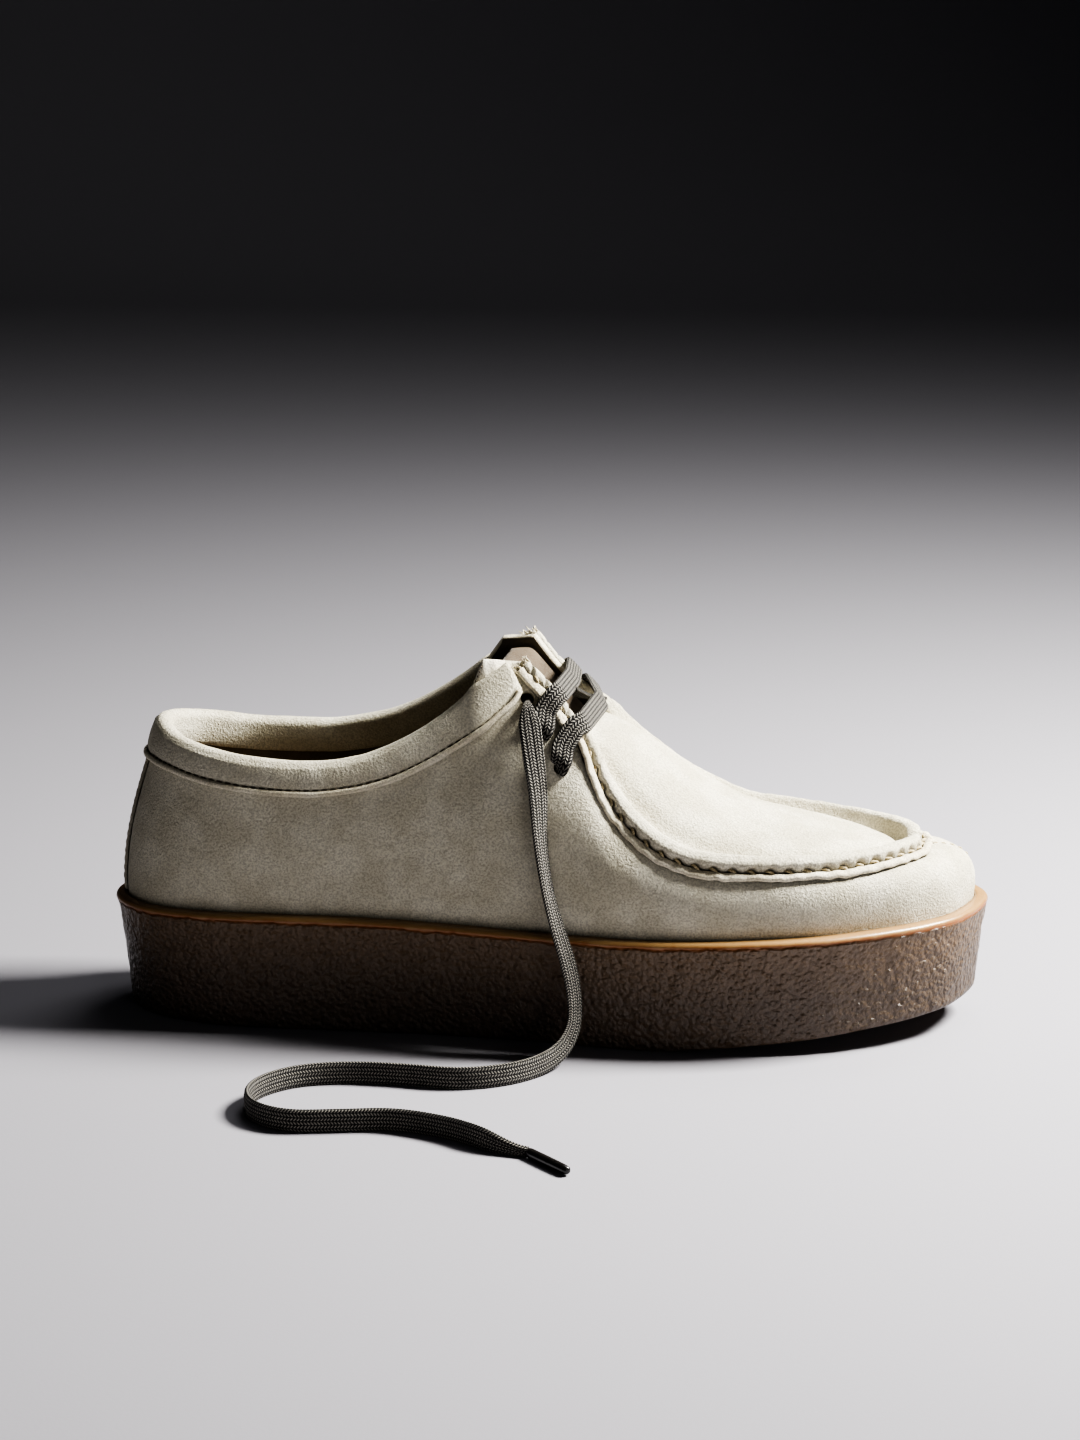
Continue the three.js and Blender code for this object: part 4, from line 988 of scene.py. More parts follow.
def sweep(rings: Array) -> tuple[Array, list]:
    """Closed body through rings of points, with a face over each end.

    Args:
        rings: The rings, each with as many points.

    Returns:
        The points and the faces.
    """
    rows, count = rings.shape[:2]
    faces = [list(f) for f in grid_faces(rows, count, wrap=True)]
    first = list(range(count))[::-1]
    last = [j + (rows - 1) * count for j in range(count)]
    return rings.reshape(-1, 3), [*faces, first, last]


def hoops(line: Array, side: Array, other: Array, radius: float | Array, count: int) -> Array:
    """Round rings along a line.

    Args:
        line: The middle of each ring.
        side: A direction across the line.
        other: The direction across both.
        radius: The rings' radius, or one for each.
        count: Number of points in a ring.

    Returns:
        The rings of points.
    """
    turn = np.linspace(0, 2 * np.pi, count, endpoint=False)[:, None]
    ways = np.cos(turn) * side[..., None, :] + np.sin(turn) * other[..., None, :]
    return line[:, None] + np.broadcast_to(radius, len(line))[:, None, None] * ways


def join(bodies: Sequence[tuple[Array, list]]) -> tuple[Array, list]:
    """Several bodies as one.

    Args:
        bodies: The points and faces of each.

    Returns:
        All points and all faces.
    """
    faces, start = [], 0
    for points, own in bodies:
        faces += [[index + start for index in face] for face in own]
        start += len(points)
    return np.concatenate([points for points, _ in bodies]), faces


def tubes(lines: Sequence[Array], radius: float, sides: int = 8) -> tuple[Array, list]:
    """Round threads along several lines, each narrowing at its ends.

    Args:
        lines: Points of each thread's middle line.
        radius: Radius at the thread's middle.
        sides: Number of points round a thread.

    Returns:
        The points and the faces.
    """
    bodies = []
    for line in lines:
        tangent = unit(np.gradient(line, axis=0))
        side = unit(np.cross(tangent, np.array([0.31, 0.22, 0.92])))
        size = radius * (0.55 + 0.45 * np.sin(np.pi * np.linspace(0, 1, len(line))) ** 0.5)
        bodies.append(sweep(hoops(line, side, np.cross(tangent, side), size, sides)))
    return join(bodies)


def bake(piece: Piece) -> None:
    """Replaces a piece's mesh with what its modifiers make of it.

    Args:
        piece: The piece.
    """
    graph = bpy.context.evaluated_depsgraph_get()
    result = bpy.data.meshes.new_from_object(piece.evaluated_get(graph))
    piece.modifiers.clear()
    piece.data = result


@dataclass
class Outsole:
    """Crepe sole: tread, tapered pebbled side, smooth rim and the recess for the upper."""

    finishes: Finishes
    step: float = 1.3
    side_rows: int = 32
    pebble: float = 0.26
    taper_power: float = 0.68
    tread_inset: float = 5.0
    # Where the pebbles start: distances below the rim, and the height over the tread where they are full.
    pebble_start: tuple = (2.4, 4.2)
    pebble_foot: float = 1.5

    def profile(self, place: Array) -> tuple[Array, Array]:
        """Points of the sole's side from the tread to the recess, and how far each is below the rim.

        Args:
            place: Places on the loop.

        Returns:
            The points and the distances.
        """
        rim, tread = FORM.rim_height(place), FORM.tread_height(place)
        taper, land = FORM.taper(place), FORM.land(place)
        rows = [(taper + self.tread_inset, tread), (taper + FORM.tread_round, tread),
                (taper + FORM.tread_round * 0.3, tread + FORM.tread_round * 0.3)]
        side_top = rim - FORM.rim_round
        for f in np.linspace(0, 1, self.side_rows):
            height = mix(tread + FORM.tread_round, side_top, f)
            rows.append((taper * (1 - f) ** self.taper_power, height))
        for turn in np.radians([22, 45, 68, 90]):
            rows.append((FORM.rim_round * (1 - np.cos(turn)) + 0 * rim,
                         side_top + FORM.rim_round * np.sin(turn)))
        for share in (0.5, 1.0):
            rows.append((mix(FORM.rim_round, land, share), rim))
        rows.append((land, rim - FORM.recess_depth))
        points = np.stack([FORM.outline(place, inset, height) for inset, height in rows], 1)
        below = np.stack([rim - height for _, height in rows], 1)
        below[:, -1] = 0
        return points, below

    def build(self) -> None:
        """Builds the sole as one closed body."""
        half = FORM.even(0, TOE, self.step, FORM.rim_plan)
        place = np.concatenate([half, LOOP - half[1:-1][::-1]])
        points, below = self.profile(place)
        count, rows = points.shape[:2]
        lumps = Unevenness(5)
        rough = lumps.at(points, 1.9) + 0.6 * lumps.at(points, 3.7)
        over_tread = points[..., 2] - FORM.tread_height(place)[:, None]
        amount = self.pebble * smooth(*self.pebble_start, below) * smooth(0, self.pebble_foot, over_tread)
        points = points + FORM.outward(place)[:, None, :] * (rough * amount)[..., None]
        faces = (grid_faces(count + 1, rows)[:, [0, 3, 2, 1]] % (count * rows)).tolist()
        for end in (0, rows - 1):
            for i in range(len(half) - 1):
                ring = [i, i + 1, (count - i - 1) % count, (count - i) % count]
                seen = list(dict.fromkeys(index * rows + end for index in ring))
                faces.append(seen if end else seen[::-1])
        piece = make_piece("crepe_outsole", points, faces, self.finishes.crepe, marks={"below_rim": below})
        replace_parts(piece, "sole")


@dataclass
class Insole:
    """Leather sock laid in the sole's recess, hollowed a little by its own padding."""

    finishes: Finishes
    thickness: float = 3.0
    dish: float = 0.8
    columns: int = 26
    end: float = 0.35
    edge_share: float = 0.06
    edge_drop: float = 0.7

    def side(self, place: Array) -> Array:
        """Edge of the sock at the bottom of the recess."""
        inset = FORM.land(place) + FORM.wall + 3 * FORM.clearance
        return FORM.outline(place, inset, FORM.rim_height(place) - FORM.recess_depth + FORM.clearance)

    def build(self) -> None:
        """Builds the sock's top and its rolled edge."""
        s = FORM.even(self.end, TOE - self.end, 3.0, FORM.rim_plan)
        outer, inner = self.side(s)[:, None], self.side(LOOP - s)[:, None]
        across = np.linspace(0, 1, self.columns)
        top = mix(outer, inner, across[None, :, None])
        middle = 1 - np.abs(2 * across - 1) ** 3
        edge = smooth(0, self.edge_share, across) * smooth(0, self.edge_share, 1 - across)
        top[..., 2] += self.thickness - self.edge_drop * (1 - edge) - self.dish * middle
        bottom = mix(outer, inner, across[None, ::-1, None])
        piece = make_piece("leather_insole", *sweep(np.concatenate([top, bottom], 1)), self.finishes.insole)
        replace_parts(piece, "insole")


# Lace holes: station and distance down the wall from its edge.
HOLE_DROP = 18.5
HOLES = ((10, 0.68 * HOLE_DROP), (11, HOLE_DROP), (12, 1.24 * HOLE_DROP))
HOLE_RADIUS = 2.3


@dataclass
class Upper:
    """The wall of the upper and its apron, cut from one suede hide, with the punched lace holes."""

    finishes: Finishes
    step: float = 1.35
    rows: int = 52
    # Stations between which the wall beside the facing is drawn smooth, and how often it is.
    taut: tuple = (5.5, 7.0, 11.5, 13.0)
    taut_passes: int = 30
    # Soft troughs worn or pulled into the suede: place and share of each end, width and depth.
    folds: tuple = (
        ((9.4, 0.34), (11.6, 0.60), 12.0, 0.30),
        ((12.2, 0.22), (14.2, 0.62), 12.0, 0.38),
        ((15.2, 0.20), (16.2, 0.70), 10.0, 0.28),
        ((4.6, 0.20), (6.6, 0.46), 14.0, 0.26),
        ((37.4, 0.30), (39.2, 0.60), 12.0, 0.30),
        ((33.5, 0.22), (35.2, 0.60), 12.0, 0.34),
    )

    def relief(self, points: Array) -> Array:
        """How far the suede stands off its smooth form at each point.

        Args:
            points: The points in millimetres.

        Returns:
            The distances.
        """
        soft = Unevenness(11)
        total = 0.22 * soft.at(points, 24.0) + 0.07 * soft.at(points, 8.0) + 0.04 * soft.at(points, 2.2)
        for start, stop, width, depth in self.folds:
            places = np.linspace(start[0], stop[0], 9)
            shares = np.linspace(start[1], stop[1], 9)
            line = FORM.wall_point(places, shares)
            gap = np.min(np.linalg.norm(points[..., None, :] - line, axis=-1), axis=-1)
            bank = 0.4 * depth * np.exp(-((gap - width) / (width / 2)) ** 2)
            total = total - depth * np.exp(-(gap / (width / 2)) ** 2) + bank
        return total

    def wall(self) -> None:
        """Builds the wall, gives it its thickness and punches its holes."""
        keys = (-EAR_BASE, 0, EAR_BASE, EAR_TIP, FACING_TOP, APRON_START, TOE, LOOP - APRON_START,
                LOOP - FACING_TOP, LOOP - EAR_TIP)
        place = FORM.loop(self.step, partial(FORM.wall_point, share=0.5), keys)
        share = np.linspace(0, 1, self.rows)
        surface = FORM.wall_point(place[:, None], share[None])
        normal = FORM.wall_normal(place[:, None], share[None])
        s = station(place)
        eased = smooth(*self.taut[:2], s) * (1 - smooth(*self.taut[2:], s))
        eased = (eased[:, None] * (1 - smooth(0.86, 0.99, share)))[..., None]
        for _ in range(self.taut_passes):
            beside = (np.roll(surface, 1, 0) + 2 * surface + np.roll(surface, -1, 0)) / 4
            surface = mix(surface, beside, eased)
        held = (smooth(0, 0.12, share) * smooth(0, 0.05, 1 - share))[None, :]
        surface = surface + normal * (self.relief(surface) * held)[..., None]
        seat = surface[:, :1].copy()
        seat[:, 0, 2] = FORM.rim_height(place) - FORM.recess_depth + FORM.clearance
        points = np.concatenate([seat, surface], 1)
        rows = points.shape[1]
        faces = grid_faces(len(place) + 1, rows) % (len(place) * rows)
        faces = facing(points, faces, np.concatenate([normal[:, :1], normal], 1))
        piece = make_piece("quarters_and_vamp", points, faces, self.finishes.suede, closed=False)
        self.thicken(piece, self.finishes.lining, self.finishes.raw_edge)
        self.punch(piece)
        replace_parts(piece, "upper")

    def thicken(self, piece: Piece, *finishes: bpy.types.Material) -> None:
        """Gives a sheet of suede its thickness.

        Args:
            piece: The sheet.
            finishes: The finish of its underside, then that of its rim unless it is the sheet's own.
        """
        for finish in finishes:
            piece.data.materials.append(finish)
        thick = piece.modifiers.new("hide", "SOLIDIFY")
        thick.thickness = FORM.wall * MM
        thick.offset = -1
        thick.material_offset = 1
        thick.material_offset_rim = 2 if len(finishes) > 1 else 0
        bake(piece)

    def punch(self, piece: Piece) -> None:
        """Cuts the lace holes through the wall.

        Args:
            piece: The wall.
        """
        punches = []
        for row, drop in HOLES:
            for place in (row, LOOP - row):
                ends = FORM.on_wall(np.full(2, float(place)), np.full(2, drop), np.array([-7.0, 5.0]))
                axis = unit(ends[1] - ends[0])
                side = unit(np.cross(axis, (0, 0, 1)))
                punches.append(sweep(hoops(ends, side, np.cross(axis, side), HOLE_RADIUS, 28)))
        cutter = make_piece("hole_punch", *join(punches), self.finishes.raw_edge)
        cut = piece.modifiers.new("holes", "BOOLEAN")
        cut.operation = "DIFFERENCE"
        cut.object = cutter
        cut.solver = "EXACT"
        bake(piece)
        bpy.data.objects.remove(cutter)

    def apron(self) -> None:
        """Builds the apron that closes the top of the foot."""
        s = FORM.even(APRON_START, TOE - 0.02, 1.3, partial(FORM.apron_point, across=0.5))
        across = np.linspace(0, 1, 64)
        surface = FORM.apron_surface(s[:, None], across[None])
        normal = unit(np.cross(np.gradient(surface, axis=0), np.gradient(surface, axis=1)))
        normal = np.where(normal[..., 2:] < 0, -normal, normal)
        held = smooth(0, 0.06, across) * smooth(0, 0.06, 1 - across)
        soft = Unevenness(17)
        relief = 0.3 * soft.at(surface, 24.0) + 0.12 * soft.at(surface, 8.0) + 0.05 * soft.at(surface, 2.4)
        surface = surface + normal * (relief * held[None])[..., None]
        faces = facing(surface, grid_faces(len(s), len(across)), normal)
        piece = make_piece("apron", surface, faces, self.finishes.suede, closed=False)
        self.thicken(piece, self.finishes.lining)

    def build(self) -> None:
        """Builds the wall and the apron."""
        self.wall()
        self.apron()


@dataclass
class MoccasinSeam:
    """Hand-sewn seam: the apron's rolled edge, the wall's cut lip outside it, and the thread between."""

    finishes: Finishes
    roll_width: float = 5.8
    roll_height: float = 5.4
    lip_width: float = 2.8
    lip_height: float = 3.2
    pitch: float = 6.1
    stations: tuple = (10.0, 12.4, 14.0, 15.5)
    roll_rows: tuple = ((-0.31, 0.17, 0.56, 0.50), (-0.28, 0.18, 0.62, 0.60), (0.20, 0.40, 0.89, 0.98),
                        (0.45, 0.46, 1.01, 1.16))
    lip_rows: tuple = ((-1.80, 0.28, 1.06, 0.84), (-1.72, 0.28, 1.06, 0.84), (-1.00, 0.24, 1.00, 0.94),
                       (-0.70, 0.22, 1.00, 1.00))
    thread_radius: float = 0.5
    stitch_reach: float = 1.8
    slant: float = 0.62
    slit_depth: float = 1.7
    slit_share: float = 0.085
    pucker: float = 1.05
    # How square the roll's section is on its groove side and on its apron side: 1 is round.
    squareness: tuple = (0.66, 0.88)
    fibres: int = 22
    fibre_radius: float = 0.24
    # Stations where the facing's strips turn into the apron's rolled edge.
    facing_end: tuple = (12.6, 14.5)
    # The soft fillet between roll and apron: stations where it starts, its first angle and its width.
    fillet_start: tuple = (12.9, 14.6)
    fillet_turn: float = 24.0
    fillet_width: float = 1.7
    # Section of the lip: shares of its width, inward, and of its height. It overhangs the wall outside.
    lip_section: tuple = (
        (-0.56, 0.28), (-0.50, 0.42), (-0.36, 0.50), (-0.15, 0.53), (0.08, 0.53), (0.28, 0.49), (0.42, 0.38),
        (0.48, 0.18), (0.49, -0.15), (0.48, -0.60), (0.10, -0.62), (-0.02, -0.42), (-0.10, -0.16),
        (-0.24, -0.05), (-0.42, -0.02), (-0.53, 0.04), (-0.57, 0.15),
    )
    places: Array = field(init=False)
    run: Array = field(init=False)

    def __post_init__(self) -> None:
        """Works out the even places along the seam and the distance run to each."""
        self.places = FORM.even(FACING_TOP, LOOP - FACING_TOP, 0.5, FORM.edge)
        self.run = lengths(FORM.edge(self.places))

    def row(self, rows: Sequence, s: Array) -> list[Array]:
        """Offset, lift, width and height shares of a strip at the stations."""
        return [at_rows(self.stations, [row[k] for row in rows], s) for k in range(4)]

    def pull(self, shift: float = 0.0) -> Array:
        """How hard the thread pulls along the seam, 1 at each stitch."""
        return 0.5 + 0.5 * np.cos(2 * np.pi * (self.run / self.pitch + shift))

    def cut(self, shift: float) -> Array:
        """Narrow slits along the seam, 1 in the middle of each."""
        phase = np.mod(self.run / self.pitch + shift, 1.0) - 0.5
        return np.exp(-(phase / self.slit_share) ** 2)

    def along(self, uneven: Unevenness, size: float) -> Array:
        """Noise that changes only along the seam."""
        return uneven.at(self.run[:, None] * np.array([1.0, 0.0, 0.0]), size)

    def on_facing(self) -> Array:
        """Share of the seam that is still a facing: 1 at the throat and 0 round the apron."""
        return 1 - smooth(*self.facing_end, station(self.places))

    def strips(self) -> tuple[tuple, tuple]:
        """Shares, width and height of the roll and of the lip."""
        return ((self.roll_rows, self.roll_width, self.roll_height),
                (self.lip_rows, self.lip_width, self.lip_height))

    def strip(self, rows: Sequence, width: float, height: float) -> tuple[Array, Array, Array, Array, Array]:
        """Middle line and size of one strip of the seam.

        Args:
            rows: The strip's shares at the seam's stations.
            width: The strip's full width.
            height: The strip's full height.

        Returns:
            The middle line, the width and height there, and the directions inward and up.
        """
        origin, _, inward, normal = FORM.seam_frame(self.places)
        off, lift, wide, high = self.row(rows, station(self.places))
        centre = origin + inward * (off * width)[:, None] + normal * (lift * height)[:, None]
        return centre, wide * width, high * height, inward, normal

    def roll(self) -> None:
        """Builds the rolled edge, puckered at each stitch and let down softly into the apron."""
        centre, wide, high, inward, normal = self.strip(*self.strips()[0])
        turn = np.radians(np.linspace(262, -60, 26))
        uneven = Unevenness(23)
        swell = 1 + 0.05 * self.along(uneven, 9.0)
        rings = np.empty((len(centre), len(turn), 3))
        groove_painted_shade = np.empty(rings.shape[:2])
        pull, facing_share = self.pull(), self.on_facing()
        for k, angle in enumerate(turn):
            c, d = math.cos(angle), math.sin(angle)
            square = self.squareness[0] if c < 0 else self.squareness[1]
            c, d = math.copysign(abs(c) ** square, c), math.copysign(abs(d) ** square, d)
            groove_side, top = max(0.0, -math.cos(angle)) ** 0.8, max(0.0, math.sin(angle))
            pinch = self.pucker * groove_side * float(smooth(0.8, 0.0, math.sin(angle)))
            pinch = pinch * pull ** 1.5 * (1 - facing_share)
            slit = self.cut(self.slant * (0.5 - angle / math.pi)) * facing_share * top ** 0.5
            reach = wide * c * swell / 2 + pinch
            rise = high * d * swell / 2 - 0.10 * pull * top * (1 - facing_share)
            rise = rise * (1 + 0.22 * facing_share * top) - self.slit_depth * slit
            rings[:, k] = centre + inward * reach[:, None] + normal * rise[:, None]
            # Painted shade on the roll's lower side toward the groove and in the facing slits, a little
            # darker at each stitch.
            low = groove_side ** 0.5 * float(smooth(0.34, -0.40, math.sin(angle)))
            groove_painted_shade[:, k] = np.clip(low * (0.7 + 0.3 * pull) + 0.75 * slit, 0, 1)
        self.settle(rings, turn, wide)
        bumps = 0.10 * uneven.at(rings, 2.4) + 0.10 * uneven.at(rings, 5.5)
        rings += bumps[..., None] * unit(rings - centre[:, None])
        piece = make_piece("seam_roll", *sweep(rings), self.finishes.suede, marks={"groove_painted_shade": groove_painted_shade})

    def settle(self, rings: Array, turn: Array, wide: Array) -> None:
        """Draws the roll's inner side out into a soft fillet on the apron.

        Args:
            rings: The roll's rings of points, changed in place.
            turn: The angle of each point of a ring.
            wide: The roll's width.
        """
        origin, _, inward, normal = FORM.seam_frame(self.places)
        on_apron = smooth(*self.fillet_start, station(self.places))
        inner = np.nonzero(turn < np.radians(self.fillet_turn))[0]
        shoulder = rings[:, inner[0] - 1]
        reach = 0.52 * self.roll_width + wide / 2
        foot = self.onto_apron(origin + inward * (reach + self.fillet_width)[:, None]) - normal * 0.45
        knee = self.onto_apron(origin + inward * (reach + 0.1)[:, None]) + normal * 0.15
        for n, k in enumerate(inner):
            t = (n + 1) / len(inner)
            curve = (1 - t) ** 2 * shoulder + 2 * t * (1 - t) * knee + t * t * foot
            rings[:, k] = mix(rings[:, k], curve, on_apron[:, None])

    @staticmethod
    def onto_apron(points: Array) -> Array:
        """Nearest points of the apron's surface to points beside the seam.

        Args:
            points: The points in millimetres.

        Returns:
            The same points, at the apron's height.
        """
        rows = np.linspace(APRON_START, TOE - 0.05, 120)
        across = np.linspace(0, 1, 81)
        surface = FORM.apron_surface(rows[:, None], across[None]).reshape(-1, 3)
        result = np.empty_like(points)
        for i, point in enumerate(points):
            gap = np.linalg.norm(surface[:, :2] - point[:2], axis=1)
            near = np.argsort(gap)[:6]
            weight = 1 / (gap[near] + 0.05) ** 2
            result[i] = (point[0], point[1], np.sum(surface[near, 2] * weight) / np.sum(weight))
        return result

    def lip(self) -> None:
        """Builds the cut edge of the wall, standing up outside the groove."""
        centre, wide, high, inward, normal = self.strip(*self.strips()[1])
        uneven = Unevenness(31)
        ragged, wavy = self.along(uneven, 2.6), self.along(uneven, 11.0)
        pull = self.pull(0.12)
        rings = np.empty((len(centre), len(self.lip_section), 3))
        groove_painted_shade = np.zeros(rings.shape[:2])
        for k, (across, upward) in enumerate(self.lip_section):
            toward = (0.35 + 0.45 * self.on_facing()) * pull * smooth(-0.2, 0.4, across)
            reach = wide * across + toward + (0.20 * ragged + 0.34 * wavy) * (across < 0)
            rise = high * upward + (upward > 0) * (0.22 * ragged - 0.3 * pull)
            rings[:, k] = centre + inward * reach[:, None] + normal * rise[:, None]
            # Painted shade on the lip's inner side toward the groove, and in a line under its outer overhang.
            lip_groove_shade = smooth(0.30, 0.44, across) * smooth(0.50, 0.20, upward)
            groove_painted_shade[:, k] = lip_groove_shade if across > 0 else smooth(0.12, -0.02, upward)
        rings += (0.09 * uneven.at(rings, 1.5))[..., None] * unit(rings - centre[:, None])
        piece = make_piece("seam_lip", *sweep(rings), self.finishes.raw_edge, marks={"groove_painted_shade": groove_painted_shade})

    def thread(self) -> None:
        """Builds the stitches that cross the groove, one at each pull."""
        lines = []
        across = np.linspace(-1, 1, 9)
        for n in range(1, int(self.run[-1] / self.pitch)):
            place = np.interp(n * self.pitch + self.stitch_reach * across, self.run, self.places)
            origin, _, inward, normal = FORM.seam_frame(place)
            off, _, wide, _ = self.row(self.roll_rows, station(place))
            roll_side = (off - 0.42 * wide) * self.roll_width
            off, lift, wide, high = self.row(self.lip_rows, station(place))
            lip_side = (off + 0.40 * wide) * self.lip_width
            level = lift * self.lip_height + 0.5 * high * self.lip_height
            t = (1 + across) / 2 if place[0] <= TOE else (1 - across) / 2
            cross = mix(roll_side + 0.6, lip_side - 0.2, t)
            bow = level - 0.55 + 0.5 * (1 - across ** 2) - 1.1 * across ** 4
            lines.append(origin + inward * cross[:, None] + normal * bow[:, None])
        piece = make_piece("seam_thread", *tubes(lines, self.thread_radius), self.finishes.thread)

    def fray(self) -> None:
        """Builds the loose fibres at the cut tops of the facing strips."""
        chance = np.random.default_rng(61)
        lines = []
        for end, back in ((0, -1), (-1, 1)):
            place = self.places[[end]]
            origin, tangent, inward, normal = (value[0] for value in FORM.seam_frame(place))
            for rows, width, height in self.strips():
                off, lift, wide, high = (float(share[0]) for share in self.row(rows, station(place)))
                for _ in range(self.fibres):
                    a, b = chance.uniform(-0.42, 0.42, 2)
                    start = origin + inward * (off + a * wide) * width + normal * (lift + b * high) * height
                    bend = chance.uniform(-1, 1, 3) * 1.3
                    t = np.linspace(-0.35, 1, 6)[:, None] * chance.uniform(0.8, 2.1)
                    lines.append(start + tangent * back * t + bend * 0.35 * t * np.abs(t))
        piece = make_piece("facing_fray", *tubes(lines, self.fibre_radius, sides=5), self.finishes.raw_edge)

    def build(self) -> None:
        """Builds roll, lip, thread and frayed tops."""
        self.roll()
        self.lip()
        self.thread()
        self.fray()


@dataclass
class Collar:
    """Padded collar: a folded suede band, its piping, its stitches and the pale tabs on its corners."""

    finishes: Finishes
    depth: float = 10.0
    # Stations, and the band's depth there as a share of its own.
    shares: tuple = (
        (0, 1.24), (0.7, 1.18), (1.3, 1.06), (2, 0.95), (3, 0.95), (4, 0.95), (5, 0.94), (6, 0.97),
        (7, 1.08), (7.5, 1.18), (8, 1.33), (8.5, 1.84), (9, 2.32), (9.25, 1.72), (9.35, 1.30), (9.45, 1.0),
    )
    thickness: float = 1.7
    top: float = 2.4
    lining_depth: float = 9.0
    # Stations between which the fold over the topline runs out.
    fold_end: tuple = (8.0, 8.42)
    band_end: float = 9.45
    # How far, in stations, the band's lower edge runs on past its upper one.
    slant: float = 0.47
    # Stations, and how far the corner's leaf is cut back below the pale tab there.
    cut_back: tuple = (
        (8.0, 0.0), (8.38, 0.2), (8.6, 2.8), (9.0, 6.4), (9.25, 3.2), (9.42, 1.1), (9.45, 0.9),
    )
    pad: float = 0.6
    stitch_line: float = 2.2
    stitch_dent: float = 0.55
    piping_radius: float = 0.95
    stitch_pitch: float = 3.0
    stitch_radius: float = 0.28
    # Rows of the fold that lie flat on the wall, and how often the others are drawn smooth.
    flat_rows: int = 5
    fold_passes: int = 12

    def depth_at(self, place: Array) -> Array:
        """Depth of the band below the edge."""
        return self.depth * np.interp(station(place), *zip(*self.shares))

    def on_band(self, place: Array, drop: Array, lift: Array) -> Array:
        """Point over the wall, slid along so that the band's end slants beside the facing.

        Args:
            place: Places on the loop.
            drop: Distance below the edge.
            lift: Distance off the wall.

        Returns:
            The points.
        """
        late = smooth(EAR_TIP, self.band_end, station(place)) * np.clip(np.asarray(drop) / 12.0, 0, 1.1)
        way = np.where((place > 0) & (place < TOE), 1, -1)
        return FORM.on_wall(place + way * self.slant * late, drop, lift)

    def skin(self) -> float:
        """Distance of the band's outer face from the wall."""
        return FORM.clearance + self.thickness

    def leaf(self, depth: Array, top: Array) -> list[tuple[Array, Array]]:
        """Rows of the outer leaf: distance below the edge and how far the padding lifts it.

        Args:
            depth: The band's depth.
            top: How far below the edge the leaf starts.

        Returns:
            The rows.
        """
        rows = []
        for below in (0.0, 0.5, 1.0, 1.4, 1.8, 2.1, 2.4, 2.7, 3.1, 3.6):
            dent = self.stitch_dent * math.exp(-((below - self.stitch_line) / 0.55) ** 2)
            swell = self.pad * smooth(-0.5, 4.5, below)
            rows.append((depth - below, swell - dent + 0 * depth))
        for u in np.linspace(0.1, 1, 9):
            swell = self.pad * (1 + 0.35 * math.sin(math.pi * u))
            rows.append((mix(depth - 3.6, top, u), swell + 0 * depth))
        return rows

    def over(self, place: Array, middle: Array) -> list[Array]:
        """Rows of the fold over the topline, down the lining and back up inside it.

        Args:
            place: Places along the topline.
            middle: The middle of the wall's edge there.

        Returns:
            The points of each row.
        """
        zero = np.zeros_like(place)
        rise = unit(FORM.edge(place) - FORM.on_wall(place, zero + 1.1, zero))
        half = FORM.wall_normal(place, 1.0) * (FORM.wall / 2 + self.skin())
        rows = []
        for turn in np.radians(np.linspace(12, 168, 11)):
            height = (FORM.clearance + self.top) * np.sin(turn) ** 0.9
            rows.append(middle + half * np.cos(turn) + rise * height)
        for drop in np.linspace(0.6, self.lining_depth, 7):
            puff = 0.5 * np.sin(np.pi * drop / self.lining_depth)
            rows.append(FORM.on_wall(place, zero + drop, zero - FORM.wall - self.skin() - puff))
        for drop in (self.lining_depth, 0.0):
            rows.append(FORM.on_wall(place, zero + drop, zero - FORM.wall - FORM.clearance))
        return [*rows, middle + rise * FORM.clearance, FORM.on_wall(place, zero, zero + FORM.clearance)]

    def fold(self) -> None:
        """Builds the padded fold over the topline, which runs out as a flat leaf on each corner."""
        place = FORM.even(-self.band_end, self.band_end, 1.1, FORM.edge)
        s = station(place)
        depth, top = self.depth_at(place), np.interp(s, *zip(*self.cut_back))
        zero = np.zeros_like(place)
        middle = FORM.edge(place) - FORM.wall_normal(place, 1.0) * FORM.wall / 2
        rows = [self.on_band(place, drop, self.skin() + lift) for drop, lift in self.leaf(depth, top)]
        over = self.over(place, middle)
        gone = smooth(*self.fold_end, s)[:, None]
        for n, point in enumerate(over):
            share = (n + 1) / len(over)
            lift = mix(self.skin() + self.pad, FORM.clearance, min(1.0, 2.5 * share))
            flat = self.on_band(place, mix(top, depth, max(0.0, share - 0.4)), zero + lift)
            rows.append(mix(point, flat, gone))
        rows.append(self.on_band(place, depth, zero + FORM.clearance))
        rings = np.stack(rows, 1)
        padded = rings[:, :-self.flat_rows]
        for _ in range(self.fold_passes):
            padded[1:-1] = (padded[:-2] + 2 * padded[1:-1] + padded[2:]) / 4
        soft = Unevenness(41)
        bumps = 0.22 * soft.at(rings, 13.0) + 0.10 * soft.at(rings, 4.5)
        bumps[:, -self.flat_rows:] = 0
        rings = rings + unit(rings - middle[:, None]) * bumps[..., None]
        piece = make_piece("collar_padding", *sweep(rings), self.finishes.suede)
        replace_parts(piece, "collar_band")

